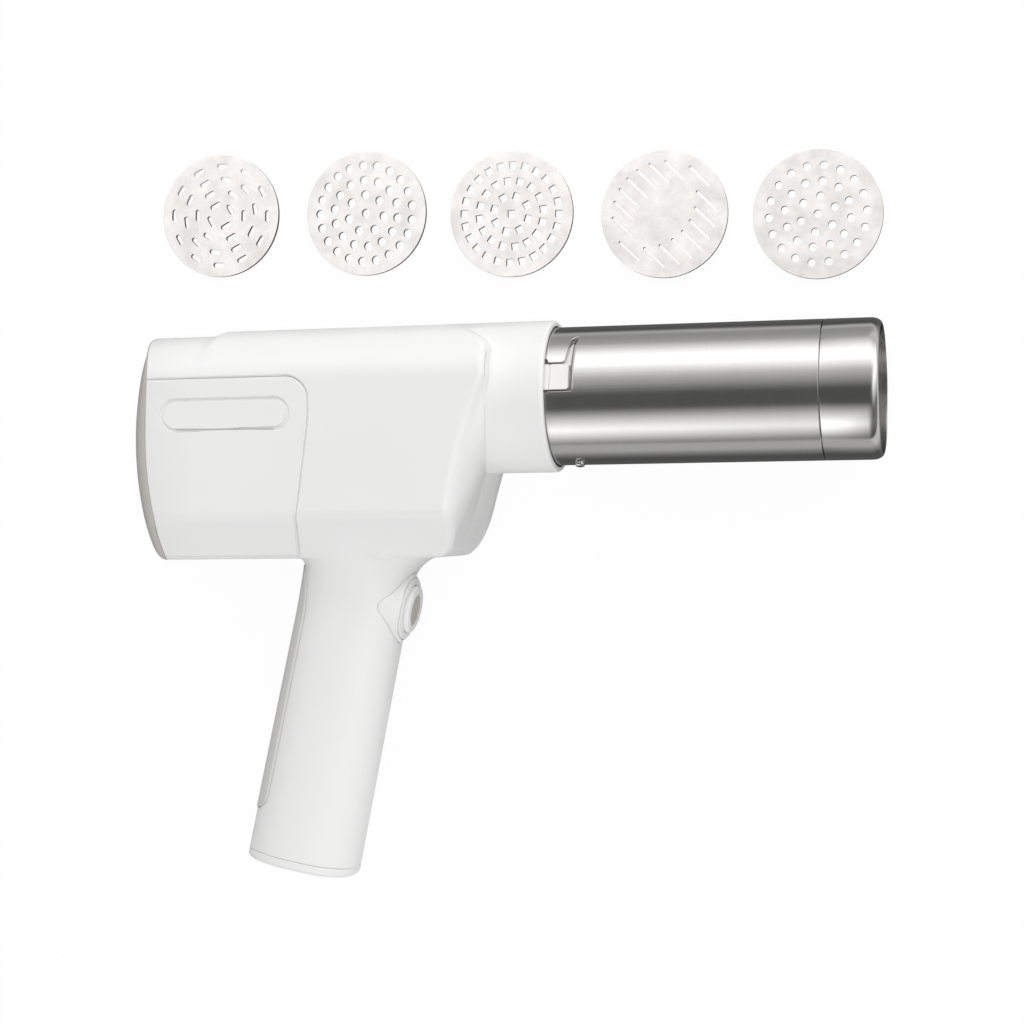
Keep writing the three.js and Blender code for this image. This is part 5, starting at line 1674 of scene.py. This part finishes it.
class PASTA_OT_stage(Builder, bpy.types.Operator):
    """Set the pale floor, the soft lights and the camera"""

    bl_idname = "pasta.stage"
    bl_label = "Stage"

    def execute(self, context):
        levels = context.scene.stage_levels
        self.floor(levels)
        self.world(levels)
        self.lamps(levels)
        self.camera()
        return {"FINISHED"}

    def floor(self, levels):
        mesh = bpy.data.meshes.new("floor")
        corners = [(x, y, FLOOR_LEVEL) for x, y in rectangle(FLOOR_SIZE, FLOOR_SIZE)]
        mesh.from_pydata(corners, [], [(0, 1, 2, 3)])
        floor = bpy.data.objects.new("floor", mesh)
        bpy.context.scene.collection.objects.link(floor)
        look = bpy.data.materials.new("Pale floor")
        look.use_nodes = True
        look.node_tree.nodes.clear()
        graph = Graph(look.node_tree)
        place = graph.add("ShaderNodeTexCoord").outputs["Object"]
        cloud = graph.noise(place, 3.0, 2.0)
        paper = graph.mix(cloud, (0.9, 0.9, 0.9, 1), (0.92, 0.92, 0.92, 1))
        matt = graph.add("ShaderNodeBsdfDiffuse", {"Color": paper}).outputs[0]
        path = graph.add("ShaderNodeLightPath").outputs
        parts = graph.add("ShaderNodeSeparateXYZ", {0: place}).outputs
        # Painted shade, seen only in reflections: for glossy rays the floor shines by place, darkest in
        # bands beside the barrel and a flat grey further along X.
        along = graph.math("MULTIPLY_ADD", parts["Y"], 0.5, 0.5)
        mirrored = graph.add("ShaderNodeValToRGB", {"Fac": along})
        tone_stops(mirrored, [(y / 2 + 0.5, tone) for y, tone in FLOOR_SHADE_TONES])
        beyond = graph.span(parts["X"], 0.235, 0.3, 0.0, 1.0)
        reflected_floor_shade = graph.mix(beyond, mirrored.outputs["Color"], (0.75, 0.75, 0.75, 1.0))
        shine = graph.mix(path["Is Glossy Ray"], WHITE, reflected_floor_shade)
        glow = graph.add("ShaderNodeEmission", {"Color": shine, "Strength": 1.0}).outputs[0]
        seen = graph.math("MAXIMUM", path["Is Camera Ray"], path["Is Transmission Ray"])
        seen = graph.math("MULTIPLY", seen, levels.floor_glow)
        seen = graph.math("MAXIMUM", seen, path["Is Glossy Ray"])
        both = graph.add("ShaderNodeMixShader", {0: seen, 1: matt, 2: glow}).outputs[0]
        graph.add("ShaderNodeOutputMaterial", {0: both})
        mesh.materials.append(look)

    def world(self, levels):
        world = bpy.data.worlds.new("Soft studio")
        bpy.context.scene.world = world
        world.use_nodes = True
        world.node_tree.nodes.clear()
        graph = Graph(world.node_tree)
        way = graph.add("ShaderNodeTexCoord").outputs["Generated"]
        parts = graph.add("ShaderNodeSeparateXYZ", {0: way}).outputs
        angle = graph.math("ARCTAN2", parts["Y"], parts["Z"])
        turn = graph.math("MULTIPLY_ADD", angle, 1 / (2 * math.pi), 0.5)
        strips = graph.add("ShaderNodeValToRGB", {"Fac": turn})
        tone_stops(strips, [((angle + 180) / 360, tone / 2) for angle, tone in STRIPS])
        strip = graph.math("MULTIPLY", strips.outputs["Color"], 2.0 * levels.reflections)
        ahead = graph.span(parts["X"], 0.4, 0.7, 0.0, 1.7)
        low = graph.span(graph.math("SUBTRACT", parts["X"], parts["Y"]), 0.55, 1.15, 1.0, 0.12)
        strip = graph.math("MULTIPLY", graph.math("MAXIMUM", strip, ahead), low)
        around = 0.0
        for direction, level in LOBES:
            facing = graph.add("ShaderNodeVectorMath", {0: way, 1: direction}, operation="DOT_PRODUCT")
            broad = graph.math("POWER", graph.math("MAXIMUM", facing.outputs["Value"], 0.0), 4.0)
            around = graph.math("MULTIPLY_ADD", broad, level * levels.soft, around)
        path = graph.add("ShaderNodeLightPath").outputs
        level = graph.mix(path["Is Glossy Ray"], around, strip)
        seen = graph.math("MAXIMUM", path["Is Camera Ray"], path["Is Transmission Ray"])
        level = graph.mix(seen, level, WHITE)
        sky = graph.add("ShaderNodeBackground", {"Color": level, "Strength": 1.0}).outputs[0]
        graph.add("ShaderNodeOutputWorld", {0: sky})

    def lamps(self, levels):
        """One broad light over the row of dies, which alone receive it."""
        light = bpy.data.lights.new("overhead", "AREA")
        light.shape = "DISK"
        light.size = 1.5
        light.energy = levels.overhead
        lamp = bpy.data.objects.new("overhead", light)
        lamp.location = (-0.17, 0.27, 0.9)
        lamp.rotation_euler = Vector((-0.22, 0.15, 0.9)).to_track_quat("Z", "Y").to_euler()
        lamp.visible_camera = False
        bpy.context.scene.collection.objects.link(lamp)
        row = bpy.data.collections.new("Row of dies")
        for number in range(1, 6):
            row.objects.link(bpy.data.objects[f"die_plate_{number}"])
        lamp.light_linking.receiver_collection = row

    def camera(self):
        yaw, roll = CAMERA_YAW, CAMERA_ROLL
        aim = Vector((*CAMERA_AIM, PRESS_Z))
        right = Vector((math.cos(yaw), 0, -math.sin(yaw)))
        back = Vector((math.sin(yaw), 0, math.cos(yaw)))
        up = Vector((0, 1, 0))
        rolled_right = right * math.cos(roll) - up * math.sin(roll)
        rolled_up = right * math.sin(roll) + up * math.cos(roll)
        data = bpy.data.cameras.new("view")
        data.sensor_width = SENSOR
        data.lens = FOCAL_PIXELS / PHOTO_PIXELS * SENSOR
        data.clip_start, data.clip_end = 0.05, 20
        camera = bpy.data.objects.new("view", data)
        turned = Matrix((rolled_right, rolled_up, back)).transposed().to_4x4()
        camera.matrix_world = Matrix.Translation(aim + back * CAMERA_DISTANCE) @ turned
        bpy.context.scene.collection.objects.link(camera)
        bpy.context.scene.camera = camera
        bpy.context.scene.view_settings.view_transform = "Standard"


# The camera, in metres: lens and picture width in pixels, and the sensor in millimetres
CAMERA_AIM = (0.053, -0.05)
CAMERA_DISTANCE = 0.963
CAMERA_YAW = math.radians(13.5)
CAMERA_ROLL = math.radians(0.75)
FOCAL_PIXELS = 2200
PHOTO_PIXELS = 1024
SENSOR = 36

# The floor, in metres
FLOOR_SIZE = 6.0
FLOOR_LEVEL = -0.0004

# Broad soft lights: direction and level of each
LOBES = [
    ((0.641, 0.641, 0.423), 1.74),
    ((0.0, 0.906, 0.423), 1.6),
    ((0.0, -0.906, 0.423), 1.95),
    ((0.0, 0.0, 1.0), 0.58),
]

# Strips and flags round the barrel: angle from straight up towards +Y, and brightness
STRIPS = [
    (-180, 0.2),
    (-110, 0.55),
    (-90, 0.45),
    (-75, 1.4),
    (-62, 2),
    (-50, 1.2),
    (-35, 0.5),
    (-25, 0.1),
    (0, 0.1),
    (30, 0.7),
    (50, 1.7),
    (65, 1.7),
    (90, 0.6),
    (180, 0.3),
]

# Painted shade that metal sees in the floor, darkest beside the barrel: metres along Y, and brightness
FLOOR_SHADE_TONES = [
    (-0.18, 0.55),
    (-0.08, 0.1),
    (0.06, 0.13),
    (0.09, 0.08),
    (0.11, 0.65),
    (0.15, 0.4),
    (0.6, 0.5),
]


def tone_stops(node, stops):
    """Sets the grey stops of a colour ramp."""
    ramp = node.color_ramp
    ramp.interpolation = "LINEAR"
    while len(ramp.elements) > 1:
        ramp.elements.remove(ramp.elements[-1])
    ramp.elements[0].position = stops[0][0]
    ramp.elements[0].color = (stops[0][1],) * 3 + (1,)
    for position, value in stops[1:]:
        ramp.elements.new(position).color = (value,) * 3 + (1,)


class PASTA_PT_panel(bpy.types.Panel):
    """Lists the steps that dress the pasta maker"""

    bl_label = "Pasta Maker"
    bl_idname = "PASTA_PT_panel"
    bl_space_type = "VIEW_3D"
    bl_region_type = "UI"
    bl_category = "Pasta Maker"

    def draw(self, context):
        for group in (context.scene.press_sizes, context.scene.press_colours, context.scene.stage_levels):
            box = self.layout.box()
            for key in group.bl_rna.properties.keys():
                if key not in ("rna_type", "name"):
                    box.prop(group, key)
        for step in STEPS:
            self.layout.operator(step.bl_idname)


STEPS = [
    PASTA_OT_finishes,
    PASTA_OT_housing,
    PASTA_OT_caps,
    PASTA_OT_button,
    PASTA_OT_barrel,
    PASTA_OT_dies,
    PASTA_OT_screws,
    PASTA_OT_drive,
    PASTA_OT_stage,
]
CLASSES = [PressSizes, PressColours, StageLevels, *STEPS, PASTA_PT_panel]


def register():
    for cls in CLASSES:
        bpy.utils.register_class(cls)
    bpy.types.Scene.press_sizes = bpy.props.PointerProperty(type=PressSizes)
    bpy.types.Scene.press_colours = bpy.props.PointerProperty(type=PressColours)
    bpy.types.Scene.stage_levels = bpy.props.PointerProperty(type=StageLevels)


def unregister():
    del bpy.types.Scene.press_sizes
    del bpy.types.Scene.press_colours
    del bpy.types.Scene.stage_levels
    for cls in reversed(CLASSES):
        bpy.utils.unregister_class(cls)


def main():
    register()
    for step in STEPS:
        area, name = step.bl_idname.split(".")
        if "FINISHED" not in getattr(getattr(bpy.ops, area), name)():
            raise RuntimeError(f"{step.bl_label} didn't finish")


if __name__ == "__main__":
    main()
